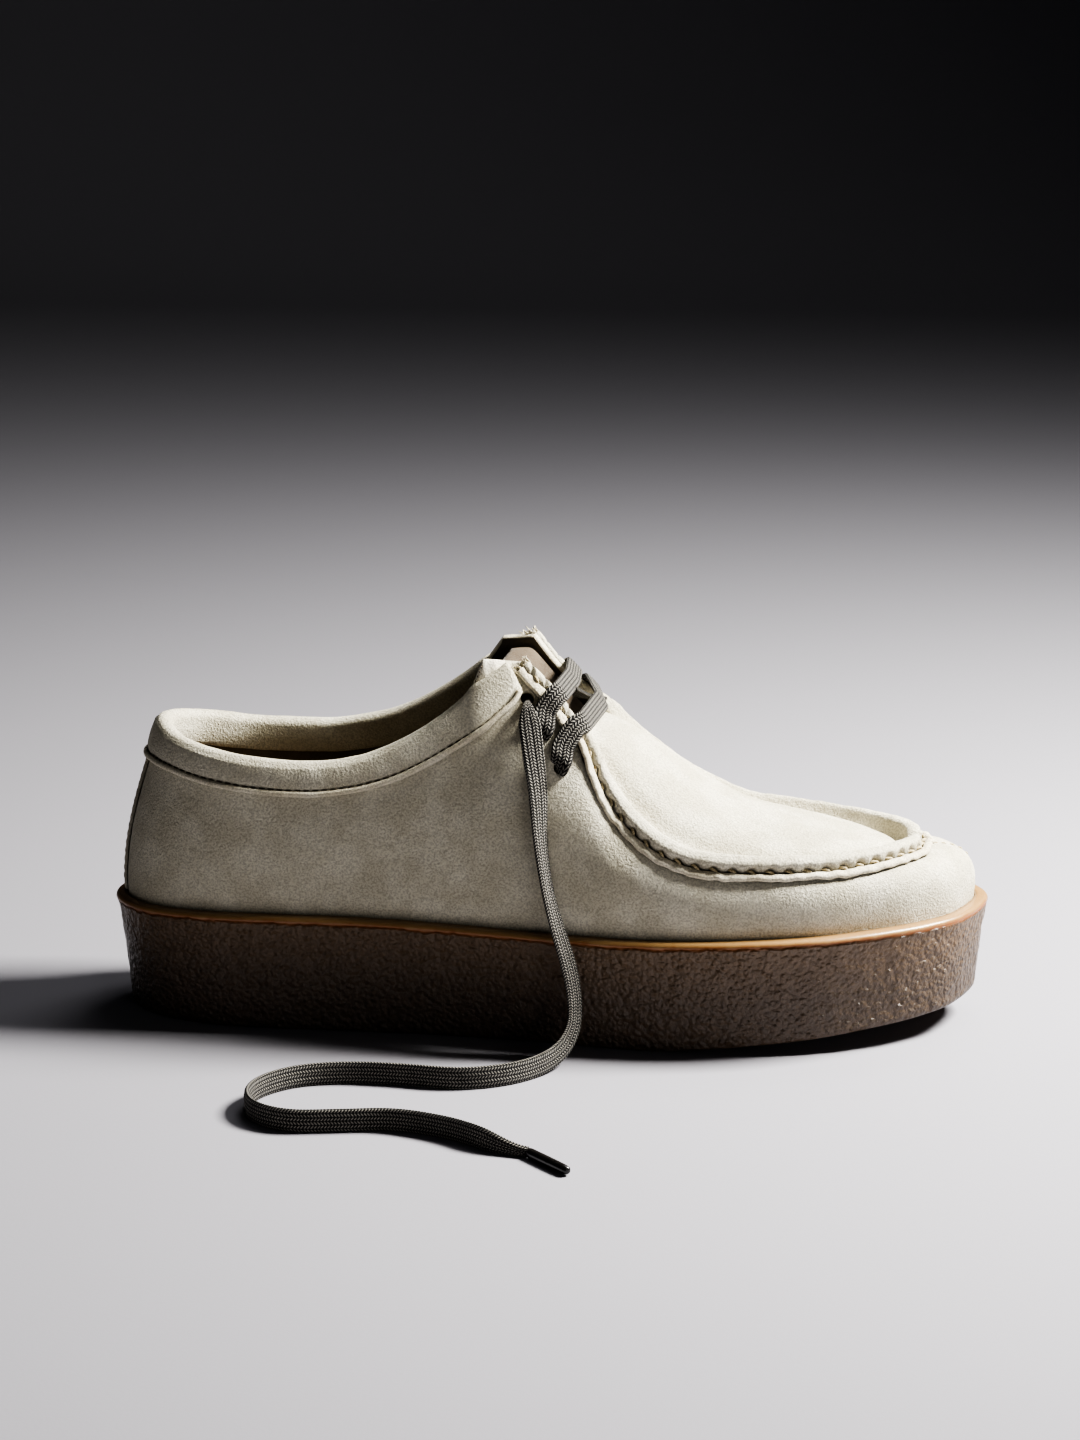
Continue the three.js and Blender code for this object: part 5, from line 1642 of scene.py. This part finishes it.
    def tab(self, side: int) -> None:
        """Builds the pale cut-edge tab that stands above the corner's leaf.

        Args:
            side: 1 for the outer side of the shoe, -1 for the inner side.
        """
        s = FORM.even(EAR_BASE + 0.28, self.band_end + 0.02, 0.5, FORM.edge)
        place = s if side > 0 else LOOP - s
        low = np.interp(s, *zip(*self.cut_back)) + 1.2
        thick = 0.15 + 0.7 * smooth(0, 0.25, s[-1] - s)
        rough = Unevenness(47).at(np.stack([s * 9, s, s], -1), 1.3)
        rows = [(mix(low, 0.05, u), thick * (1 + 0.15 * rough - 0.4 * u ** 6)) for u in np.linspace(0, 1, 9)]
        outer = [FORM.on_wall(place, drop, lift) for drop, lift in rows]
        hidden = [FORM.on_wall(place, drop, 0.05 + 0 * s) for drop in (0.05 + 0 * low, low)]
        name = "collar_tab_outer" if side > 0 else "collar_tab_inner"
        piece = make_piece(name, *sweep(np.stack(outer + hidden, 1)), self.finishes.cut_face)

    def line(self, below: float, lift: float, step: float) -> Array:
        """Points along the band's lower edge from one corner to the other.

        Args:
            below: Distance over the band's lower edge.
            lift: Distance off the wall.
            step: Distance between two points.

        Returns:
            The points.
        """
        place = FORM.even(-self.band_end + 0.05, self.band_end - 0.05, 0.6, FORM.edge)
        drop = self.depth_at(place) - below
        return soft_line(self.on_band(place, drop, np.full_like(place, lift)), step, 2.4)

    def piping(self) -> None:
        """Builds the thin cord of folded suede along the band's lower edge."""
        line = self.line(self.piping_radius, self.skin() + 0.15, 1.0)
        line = line + 0.12 * Unevenness(43).at(line, 5.0)[:, None] * np.array([0.0, 0.3, 1.0])
        tangent = unit(np.gradient(line, axis=0))
        side = unit(np.cross(tangent, (0, 0, 1)))
        rings = hoops(line, side, np.cross(tangent, side), self.piping_radius, 12)
        piece = make_piece("collar_piping", *sweep(rings), self.finishes.raw_edge)

    def stitches(self) -> None:
        """Builds the row of fine stitches just above the piping, and the row along each tab."""
        line = self.line(self.stitch_line, self.skin() + 0.1, 0.25)
        run = lengths(line)
        lines = []
        for middle in np.arange(2.0, run[-1] - 2.0, self.stitch_pitch):
            at = middle + np.linspace(-1.05, 1.05, 5)
            lines.append(np.stack([np.interp(at, run, line[:, k]) for k in range(3)], -1))
        tab_stitches = np.arange(8.50, 8.97, 0.105)
        for place in (*tab_stitches, *(LOOP - tab_stitches)):
            lines.append(FORM.on_wall(place, np.array([1.3, 1.7, 2.1]), np.array([0.8, 0.95, 0.8])))
        piece = make_piece("collar_stitches", *tubes(lines, self.stitch_radius, sides=6),
                           self.finishes.fine_thread_painted_shade)

    def build(self) -> None:
        """Builds the fold, the tabs, the piping and the stitches."""
        self.fold()
        for side in (1, -1):
            self.tab(side)
        self.piping()
        self.stitches()


@dataclass
class HeelStrip:
    """Narrow strip over the back seam, stitched down both edges."""

    finishes: Finishes
    width: float = 13.0
    thickness: float = 1.0
    top: float = 10.6
    stitch_radius: float = 0.26

    def build(self) -> None:
        """Builds the strip and its two rows of stitches."""
        beside = FORM.rim_plan(np.array(0.5)) - FORM.rim_plan(np.array(-0.5))
        half = self.width / 2 / float(np.linalg.norm(beside))
        bottom = float(lengths(FORM.wall_point(np.zeros(49), np.linspace(0, 1, 49)))[-1]) - 0.6
        drops = np.linspace(bottom, self.top, 44)
        across = np.linspace(-1, 1, 15)
        round_off = np.sqrt(np.clip(1 - np.abs(across) ** 10, 0, 1))
        places = across * half
        outer = FORM.on_wall(places, drops[:, None], FORM.clearance + self.thickness * round_off)
        inner = FORM.on_wall(places[::-1], drops[:, None], FORM.clearance)
        strip = make_piece("heel_strip_suede", *sweep(np.concatenate([outer, inner], 1)),
                           self.finishes.suede)
        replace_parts(strip, "heel_strip")
        lines = []
        for side in (-0.78, 0.78):
            for middle in np.arange(self.top + 3, bottom - 2, 3.0):
                lines.append(FORM.on_wall(side * half, middle + np.linspace(-1.0, 1.0, 5), 1.17))
        piece = make_piece("heel_strip_stitches", *tubes(lines, self.stitch_radius, sides=6),
                           self.finishes.fine_thread_painted_shade)


@dataclass
class Tongue:
    """Tan split-leather tongue that dips between the facings and ends under the apron."""

    finishes: Finishes
    thickness: float = 2.0
    dip: float = 9.0
    stations: tuple = (9.25, 9.75, 10.4, 11.2, 12.0, 12.6, 13.0, 14.0, 15.0)
    dips: tuple = (0.24, 0.52, 0.86, 1.00, 0.82, 0.30, 0.00, 0.00, 0.00)
    insets: tuple = (3.0, 2.6, 1.7, 1.3, 1.3, 1.5, 1.7, 2.2, 2.6)
    passes: int = 40

    def point(self, s: Array, across: Array) -> Array:
        """Upper face of the space that the tongue lies under.

        Args:
            s: Stations.
            across: Share of the way across the tongue.

        Returns:
            The points.
        """
        outer, inner = FORM.edge(s), FORM.edge(LOOP - s)
        inset = self.thickness * at_rows(self.stations, self.insets, s)
        margin = inset / np.linalg.norm(outer - inner, axis=-1)
        t = mix(margin, 1 - margin, across)
        dip = self.dip * at_rows(self.stations, self.dips, s)
        rise = np.where(s > APRON_START, FORM.crown(np.clip(s, APRON_START, TOE), t), 0)
        points = mix(outer, inner, t[..., None])
        points[..., 2] += rise - dip * (1 - np.abs(2 * across - 1) ** 2.2)
        return points

    def build(self) -> None:
        """Builds the tongue with its rounded edge."""
        s, across = np.linspace(self.stations[0], self.stations[-1], 64)[:, None], np.linspace(0, 1, 30)
        here = self.point(*np.broadcast_arrays(s, across))
        for _ in range(self.passes):
            here[1:-1] = (here[:-2] + 2 * here[1:-1] + here[2:]) / 4
        below = unit(np.cross(np.gradient(here, axis=0), np.gradient(here, axis=1)))
        below = np.where(below[..., 2:] > 0, -below, below)
        edge = np.minimum(np.minimum(across, 1 - across) * 12, (s - s[0]) * 5)
        round_off = np.sqrt(np.clip(1 - (1 - np.clip(edge, 0, 1)) ** 2, 0, 1))
        lumps = 0.25 * Unevenness(53).at(here, 9.0)
        half = self.thickness / 2
        centre = here + below * (FORM.wall + 3 * FORM.clearance + half)
        thick = half * (0.25 + 0.75 * round_off)
        upper = centre - below * (thick + lumps * round_off)[..., None]
        lower = centre + below * thick[..., None]
        rings = np.concatenate([upper, lower[:, ::-1]], 1)
        piece = make_piece("tongue_leather", *sweep(rings), self.finishes.tongue)
        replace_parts(piece, "tongue")


@dataclass
class LaceRun:
    """One run of flat braided lace along its middle line."""

    width: float = 7.3
    thickness: float = 1.8
    ribs: float = 0.10
    columns: int = 6
    around_count: int = 44

    def section(self) -> tuple[Array, Array]:
        """Points of the lace's section and how far across the braid each lies.

        Returns:
            The points and the distances.
        """
        turn = np.linspace(0, 2 * np.pi, self.around_count, endpoint=False)
        x = np.sign(np.cos(turn)) * np.abs(np.cos(turn)) ** 0.75
        y = np.sign(np.sin(turn)) * np.abs(np.sin(turn)) ** 0.60
        rib = np.abs(np.sin(np.pi * self.columns * (x + 1) / 2)) - 0.6
        section = np.stack([x * self.width / 2, y * (self.thickness / 2 + self.ribs * rib)], -1)
        return section, lengths(np.concatenate([section, section[:1]]))[:-1]

    def mesh(self, name: str, line: Array, widths: Array, size: Array,
             material: bpy.types.Material) -> Piece:
        """Builds the run.

        Args:
            name: The piece's name.
            line: The middle line's points in millimetres, closely spaced.
            widths: The direction of the lace's width at each point.
            size: Shares of the width and the thickness at each point.
            material: The braid.

        Returns:
            The run of lace.
        """
        tangent = unit(np.gradient(line, axis=0))
        side = unit(widths - tangent * dot(widths, tangent))
        face = np.cross(tangent, side)
        section, across = self.section()
        x = section[None, :, 0] * size[:, None, 0]
        y = section[None, :, 1] * size[:, None, 1]
        rings = line[:, None] + side[:, None] * x[..., None] + face[:, None] * y[..., None]
        run = lengths(line)
        uv = np.stack(np.broadcast_arrays(run[:, None], across[None, :]), -1)
        return make_piece(name, *sweep(rings), material, uv=uv)


def spline(points: Array, count: int) -> Array:
    """Smooth line through points, with count points evenly numbered between each two.

    Args:
        points: The points, which may carry further values.
        count: Number of steps between two.

    Returns:
        The line's points.
    """
    points = np.asarray(points, float)
    place = np.linspace(0, len(points) - 1, (len(points) - 1) * count + 1)
    return np.stack([through(points[:, k], place) for k in range(points.shape[1])], -1)


def soft_line(rows: Array, step: float, softness: float) -> Array:
    """Line through rows of a point and its other values, evenly spaced and with its corners rounded.

    Args:
        rows: Points in the first three columns and any other values after them.
        step: Distance between the new rows.
        softness: About how far each corner is rounded.

    Returns:
        The new rows.
    """
    rows = np.asarray(rows, float)
    run = lengths(rows[:, :3])
    at = np.linspace(0, run[-1], math.ceil(run[-1] / step) + 1)
    line = np.stack([np.interp(at, run, rows[:, k]) for k in range(rows.shape[1])], -1)
    for _ in range(math.ceil(2 * (softness / step) ** 2)):
        line[1:-1] = (line[:-2] + 2 * line[1:-1] + line[2:]) / 4
    return line


@dataclass
class Lacing:
    """The two lace crossings, the slanted run between them and the ends that dive into the holes."""

    finishes: Finishes
    seam: MoccasinSeam
    run: LaceRun
    # Row of holes, the stations where the lace passes the outer and the inner seam, its bow and its lean
    # toward the toe.
    rows: tuple = ((1, 11.75, 11.95, 0.5, 1.5), (2, 12.85, 12.75, 0.5, 4.5))
    # An end's points: distance below its hole and lift off the wall, from inside the shoe outward.
    dive: tuple = ((0.3, -4.5), (0.8, -0.9), (0.2, 1.5), (-2.6, 2.4), (-6.5, 2.6))
    # Shares of width and thickness that the end has in its hole.
    end_sizes: tuple = ((0.56, 1.3), (0.60, 1.3), (0.97, 1.15), (1.0, 1.05))
    step: float = 0.45

    def over_seam(self, place: float, rows: Sequence, width: float, height: float) -> tuple[Array, Array]:
        """Place of the lace over a strip of the seam, and the seam's direction there.

        Args:
            place: Place on the loop.
            rows: The strip's shares.
            width: The strip's full width.
            height: The strip's full height.

        Returns:
            The point and the direction.
        """
        at = np.array([place])
        origin, tangent, inward, normal = FORM.seam_frame(at)
        off, lift, _, high = self.seam.row(rows, station(at))
        top = (lift + high / 2) * height + self.run.thickness / 2 + 4 * FORM.clearance
        point = origin + inward * (off * width)[:, None] + normal * top[:, None]
        return point[0], tangent[0]

    def crossing(self, row: int, outer: float, inner: float, bow: float, lean: float) -> Array:
        """Rows of one crossing: middle line, width direction, and shares of width and thickness.

        Args:
            row: Number of the row of holes.
            outer: Station where it passes the outer seam.
            inner: Station where it passes the inner seam.
            bow: Its rise in lace thicknesses.
            lean: How far its middle lies toward the toe.

        Returns:
            The rows.
        """
        hole, drop = HOLES[row]
        roll, lip = self.seam.strips()
        near, near_way = self.over_seam(outer, *roll)
        near_lip, _ = self.over_seam(outer, *lip)
        far, far_way = self.over_seam(LOOP - inner, *roll)
        far_lip, _ = self.over_seam(LOOP - inner, *lip)
        up = np.array([0.0, 0.0, 1.0])
        middle = (near + far) / 2 + up * bow * self.run.thickness + np.array([lean, 0.0, 0.0])
        below, lift = np.array(self.dive).T
        start, stop = (FORM.on_wall(place, drop + below, lift) for place in (hole, LOOP - hole))
        points = np.array([*start, near_lip + up * 0.6, near + up * 0.7, middle, far + up * 0.7,
                           far_lip + up * 0.6, *stop[::-1]])
        half = len(points) // 2
        widths = np.array([near_way] * half + [unit(near_way - far_way)] + [-far_way] * half)
        full = [(1.0, 1.0)] * (len(points) - 2 * len(self.end_sizes))
        sizes = np.array([*self.end_sizes, *full, *self.end_sizes[::-1]])
        return soft_line(np.concatenate([points, widths, sizes], 1), self.step, 1.1)

    def lay(self, name: str, rows: Array) -> Piece:
        """Makes one run of lace from its rows of point, width direction and size.

        Args:
            name: The piece's name.
            rows: The rows.

        Returns:
            The run of lace.
        """
        piece = self.run.mesh(name, rows[:, :3], rows[:, 3:6], rows[:, 6:], self.finishes.lace)
        return piece

    def build(self) -> None:
        """Builds the crossings and the slanted run."""
        upper, lower = (self.crossing(*row) for row in self.rows)
        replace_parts(self.lay("lace_crossing_upper", upper), "lace_bars")
        self.lay("lace_crossing_lower", lower)
        under = np.array([0.0, 0.0, self.run.thickness + 0.2])
        start = upper[int(len(upper) * 0.40), :3] - under
        stop = lower[int(len(lower) * 0.60), :3] - under
        way = np.cross(unit(stop - start), (0.0, 0.0, 1.0))
        rows = [[*point, *way, 1.0, 1.0] for point in (start, (start + stop) / 2 - under / 2, stop)]
        self.lay("lace_slanted_run", soft_line(rows, self.step, 2.0))


@dataclass
class FreeLace:
    """The loose end: out of the top outer hole, down the side, over the rim and along the floor."""

    finishes: Finishes
    run: LaceRun
    # The route's points in metres, from the hole to the tip.
    route: tuple = (
        (-0.0040, -0.0320, 0.1130), (-0.0026, -0.0356, 0.1060), (-0.0012, -0.0384, 0.0970),
        (0.0006, -0.0414, 0.0850), (0.0017, -0.0450, 0.0700), (0.0043, -0.0486, 0.0550),
        (0.0083, -0.0526, 0.0420), (0.0118, -0.0540, 0.0310), (0.0138, -0.0556, 0.0210),
        (0.0139, -0.0590, 0.0120), (0.0106, -0.0660, 0.0062), (0.0040, -0.0760, 0.0040),
        (-0.0060, -0.0855, 0.0038), (-0.0200, -0.0905, 0.0038), (-0.0380, -0.0885, 0.0038),
        (-0.0550, -0.0880, 0.0038), (-0.0710, -0.0930, 0.0038), (-0.0810, -0.1040, 0.0038),
        (-0.0835, -0.1170, 0.0038), (-0.0785, -0.1290, 0.0038), (-0.0670, -0.1355, 0.0038),
        (-0.0520, -0.1340, 0.0038), (-0.0350, -0.1318, 0.0038), (-0.0180, -0.1375, 0.0038),
        (-0.0040, -0.1470, 0.0038), (0.0080, -0.1510, 0.0038),
    )
    # Direction of the lace's width at each point while it hangs. On the floor it stands on its edge.
    hanging: tuple = (
        (1.0, 0.0, 0.2), (1.0, 0.2, 0.1), (0.92, 0.4, 0.0), (0.74, 0.67, 0.0), (0.46, 0.89, 0.0),
        (0.34, 0.94, 0.0), (0.48, 0.88, 0.0), (0.54, 0.84, 0.0), (0.50, 0.83, -0.17), (0.42, 0.62, -0.55),
        (0.22, 0.28, -0.90),
    )
    tip_heading: tuple = (0.66, -0.75)
    tip_length: float = 20.0
    tip_radius: float = 1.6

    def tip(self) -> Piece:
        """Builds the rolled film tip, from inside the lace's end to its rounded nose.

        Returns:
            The tip.
        """
        end = np.array(self.route[-1]) / MM
        heading = unit(np.array([*self.tip_heading, 0.0]))
        u = np.array([0.0, 0.02, 0.06, 0.25, 0.5, 0.75, 0.9, 0.965, 1.0])
        size = np.array([0.86, 0.97, 1.0, 1.0, 1.0, 0.97, 0.92, 0.80, 0.45])
        start = np.array([end[0], end[1], self.tip_radius + 0.15]) + heading * 0.6
        line = start + heading * (u * self.tip_length)[:, None]
        side = np.array([-heading[1], heading[0], 0.0])
        rings = hoops(line, side, np.array([0.0, 0.0, 1.0]), self.tip_radius * size, 28)
        piece = make_piece("lace_tip_film", *sweep(rings), self.finishes.tip)
        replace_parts(piece, "aglet")
        return piece

    def build(self) -> None:
        hole, drop = HOLES[0]
        inside = FORM.on_wall(np.full(2, float(hole)), drop + np.array([0.6, 2.2]), np.array([-1.2, 1.0]))
        points = np.concatenate([inside, np.array(self.route) / MM])
        on_floor = [(0.0, 0.0, -1.0)] * (len(self.route) - len(self.hanging))
        widths = np.array([self.hanging[0], self.hanging[0], *self.hanging, *on_floor])
        rows = spline(np.concatenate([points, widths], 1), 12)
        rows = soft_line(rows, 0.7, 2.2)
        line, widths = rows[:, :3], rows[:, 3:]
        run = lengths(line)
        left = run[-1] - run
        narrow = smooth(0, 16, left)
        size = np.stack([mix(0.42, 1.0, narrow), mix(1.5, 1.0, narrow)], -1)
        pinch = 1 - smooth(2, 13, run)
        size = size * np.stack([mix(1.0, 0.28, pinch), mix(1.0, 1.1, pinch)], -1)
        sink = mix(self.tip_radius + 0.2, line[:, 2], smooth(0, 20, left))
        floor = run > 0.5 * run[-1]
        line[:, 2] = np.where(floor, sink, line[:, 2])
        piece = self.run.mesh("lace_free_end", line, widths, size, self.finishes.lace)
        tip = self.tip()
        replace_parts(piece, "lace_end")
        path = (line[::6] * MM).tolist() + [(line[-1] * MM).tolist()]
        length = float(lengths(np.array(path))[-1])
        log.info("free lace: %.0f mm", length / MM)


@dataclass
class ToeStitches:
    """Short row of tight stitches from the apron's tip over the front of the toe."""

    finishes: Finishes
    place: float = 24.35
    pitch: float = 3.4
    radius: float = 0.3

    def build(self) -> None:
        """Builds the stitches."""
        lines = []
        for middle in np.arange(4.5, 22.0, self.pitch):
            drop = middle + np.linspace(-1.0, 1.0, 5)
            lines.append(FORM.on_wall(self.place, drop, np.array([-0.1, 0.15, 0.2, 0.15, -0.1])))
        piece = make_piece("toe_stitches", *tubes(lines, self.radius, sides=6), self.finishes.thread)


@dataclass
class Studio:
    """Camera, soft lamps and pale paper sweep."""

    finishes: Finishes
    centre: tuple = (0.104, -1.113, 0.350)
    azimuth: float = 5.48
    pitch: float = 12.57
    lens: float = 85.0
    sensor: float = 36.0
    # The paper, in metres: half its width, its front edge, where it starts to rise, how it bends, its top.
    paper_half: float = 5.0
    paper_front: float = -3.0
    paper_rise: float = 2.4
    paper_bend: float = 1.2
    paper_top: float = 4.5
    # Light that comes from all round, and each lamp: name, place, target, size, power and colour.
    glow: float = 0.028
    glow_colour: tuple = (0.92, 0.94, 1.0, 1.0)
    lamps: tuple = (
        ("key", (0.60, 0.10, 0.67), (0.03, 0.0, 0.05), 0.25, 33.0, (1.0, 0.985, 0.935)),
        ("top", (0.25, 0.55, 1.25), (0.04, 0.0, 0.05), 0.6, 4.5, (1.0, 1.0, 1.0)),
        ("front", (0.85, -1.30, 0.34), (0.03, 0.0, 0.05), 0.5, 1.5, (1.0, 1.0, 1.0)),
    )

    def camera(self) -> None:
        """Places the camera at the photograph's viewing angle."""
        data = bpy.data.cameras.new("studio_camera")
        data.lens = self.lens
        data.sensor_fit = "VERTICAL"
        data.sensor_height = self.sensor
        data.clip_start = 0.05
        data.clip_end = 50
        a, p = math.radians(self.azimuth), math.radians(self.pitch)
        forward = Vector((-math.sin(a) * math.cos(p), math.cos(a) * math.cos(p), -math.sin(p)))
        right = Vector((math.cos(a), math.sin(a), 0))
        up = right.cross(forward)
        place = Matrix((right, up, -forward)).transposed().to_4x4()
        place.translation = Vector(self.centre)
        camera = add_object("studio_camera", data)
        camera.matrix_world = place
        bpy.context.scene.camera = camera

    def lamp(self, name: str, place: tuple, target: tuple, size: float, power: float,
             colour: tuple) -> None:
        """Hangs one soft square lamp that looks at a target.

        Args:
            name: The lamp's name.
            place: Where it hangs, in metres.
            target: Where it looks.
            size: Its side in metres.
            power: Its power in watts.
            colour: Its colour.
        """
        data = bpy.data.lights.new(name, "AREA")
        data.shape = "SQUARE"
        data.size = size
        data.energy = power
        data.color = colour
        lamp = add_object(name, data)
        lamp.location = place
        way = Vector(target) - Vector(place)
        lamp.rotation_euler = way.to_track_quat("-Z", "Y").to_euler()

    def paper(self) -> None:
        """Builds the floor, swept up behind the shoe."""
        rise, bend = self.paper_rise, self.paper_bend
        back = [(self.paper_front, 0.0), (rise, 0.0)]
        back += [(rise + bend * math.sin(t), bend - bend * math.cos(t)) for t in np.radians(range(6, 91, 6))]
        back.append((rise + bend, self.paper_top))
        points = [(x, y, z) for y, z in back for x in (-self.paper_half, self.paper_half)]
        faces = [[i * 2, i * 2 + 1, i * 2 + 3, i * 2 + 2] for i in range(len(back) - 1)]
        mesh = bpy.data.meshes.new("paper_sweep")
        mesh.from_pydata(points, [], faces)
        mesh.polygons.foreach_set("use_smooth", np.ones(len(mesh.polygons), bool))
        mesh.materials.append(self.finishes.paper)
        add_object("paper_sweep", mesh)

    def light(self) -> None:
        """Lights the shoe softly from above and from the toe's side."""
        world = bpy.data.worlds.new("studio")
        world.use_nodes = True
        background = world.node_tree.nodes["Background"]
        background.inputs["Color"].default_value = self.glow_colour
        background.inputs["Strength"].default_value = self.glow
        bpy.context.scene.world = world
        for lamp in self.lamps:
            self.lamp(*lamp)


def main() -> None:
    """Builds the shoe piece by piece, then its studio."""
    logging.basicConfig(level=logging.INFO, format="%(message)s")
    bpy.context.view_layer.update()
    finishes = Finishes()
    studio = Studio(finishes)
    studio.camera()
    run = LaceRun()
    FreeLace(finishes, run).build()
    Outsole(finishes).build()
    Insole(finishes).build()
    Upper(finishes).build()
    seam = MoccasinSeam(finishes)
    seam.build()
    Collar(finishes).build()
    HeelStrip(finishes).build()
    Tongue(finishes).build()
    Lacing(finishes, seam, run).build()
    ToeStitches(finishes).build()
    studio.paper()
    studio.light()
    bpy.context.scene.view_settings.look = "AgX - High Contrast"


if __name__ == "__main__":
    main()
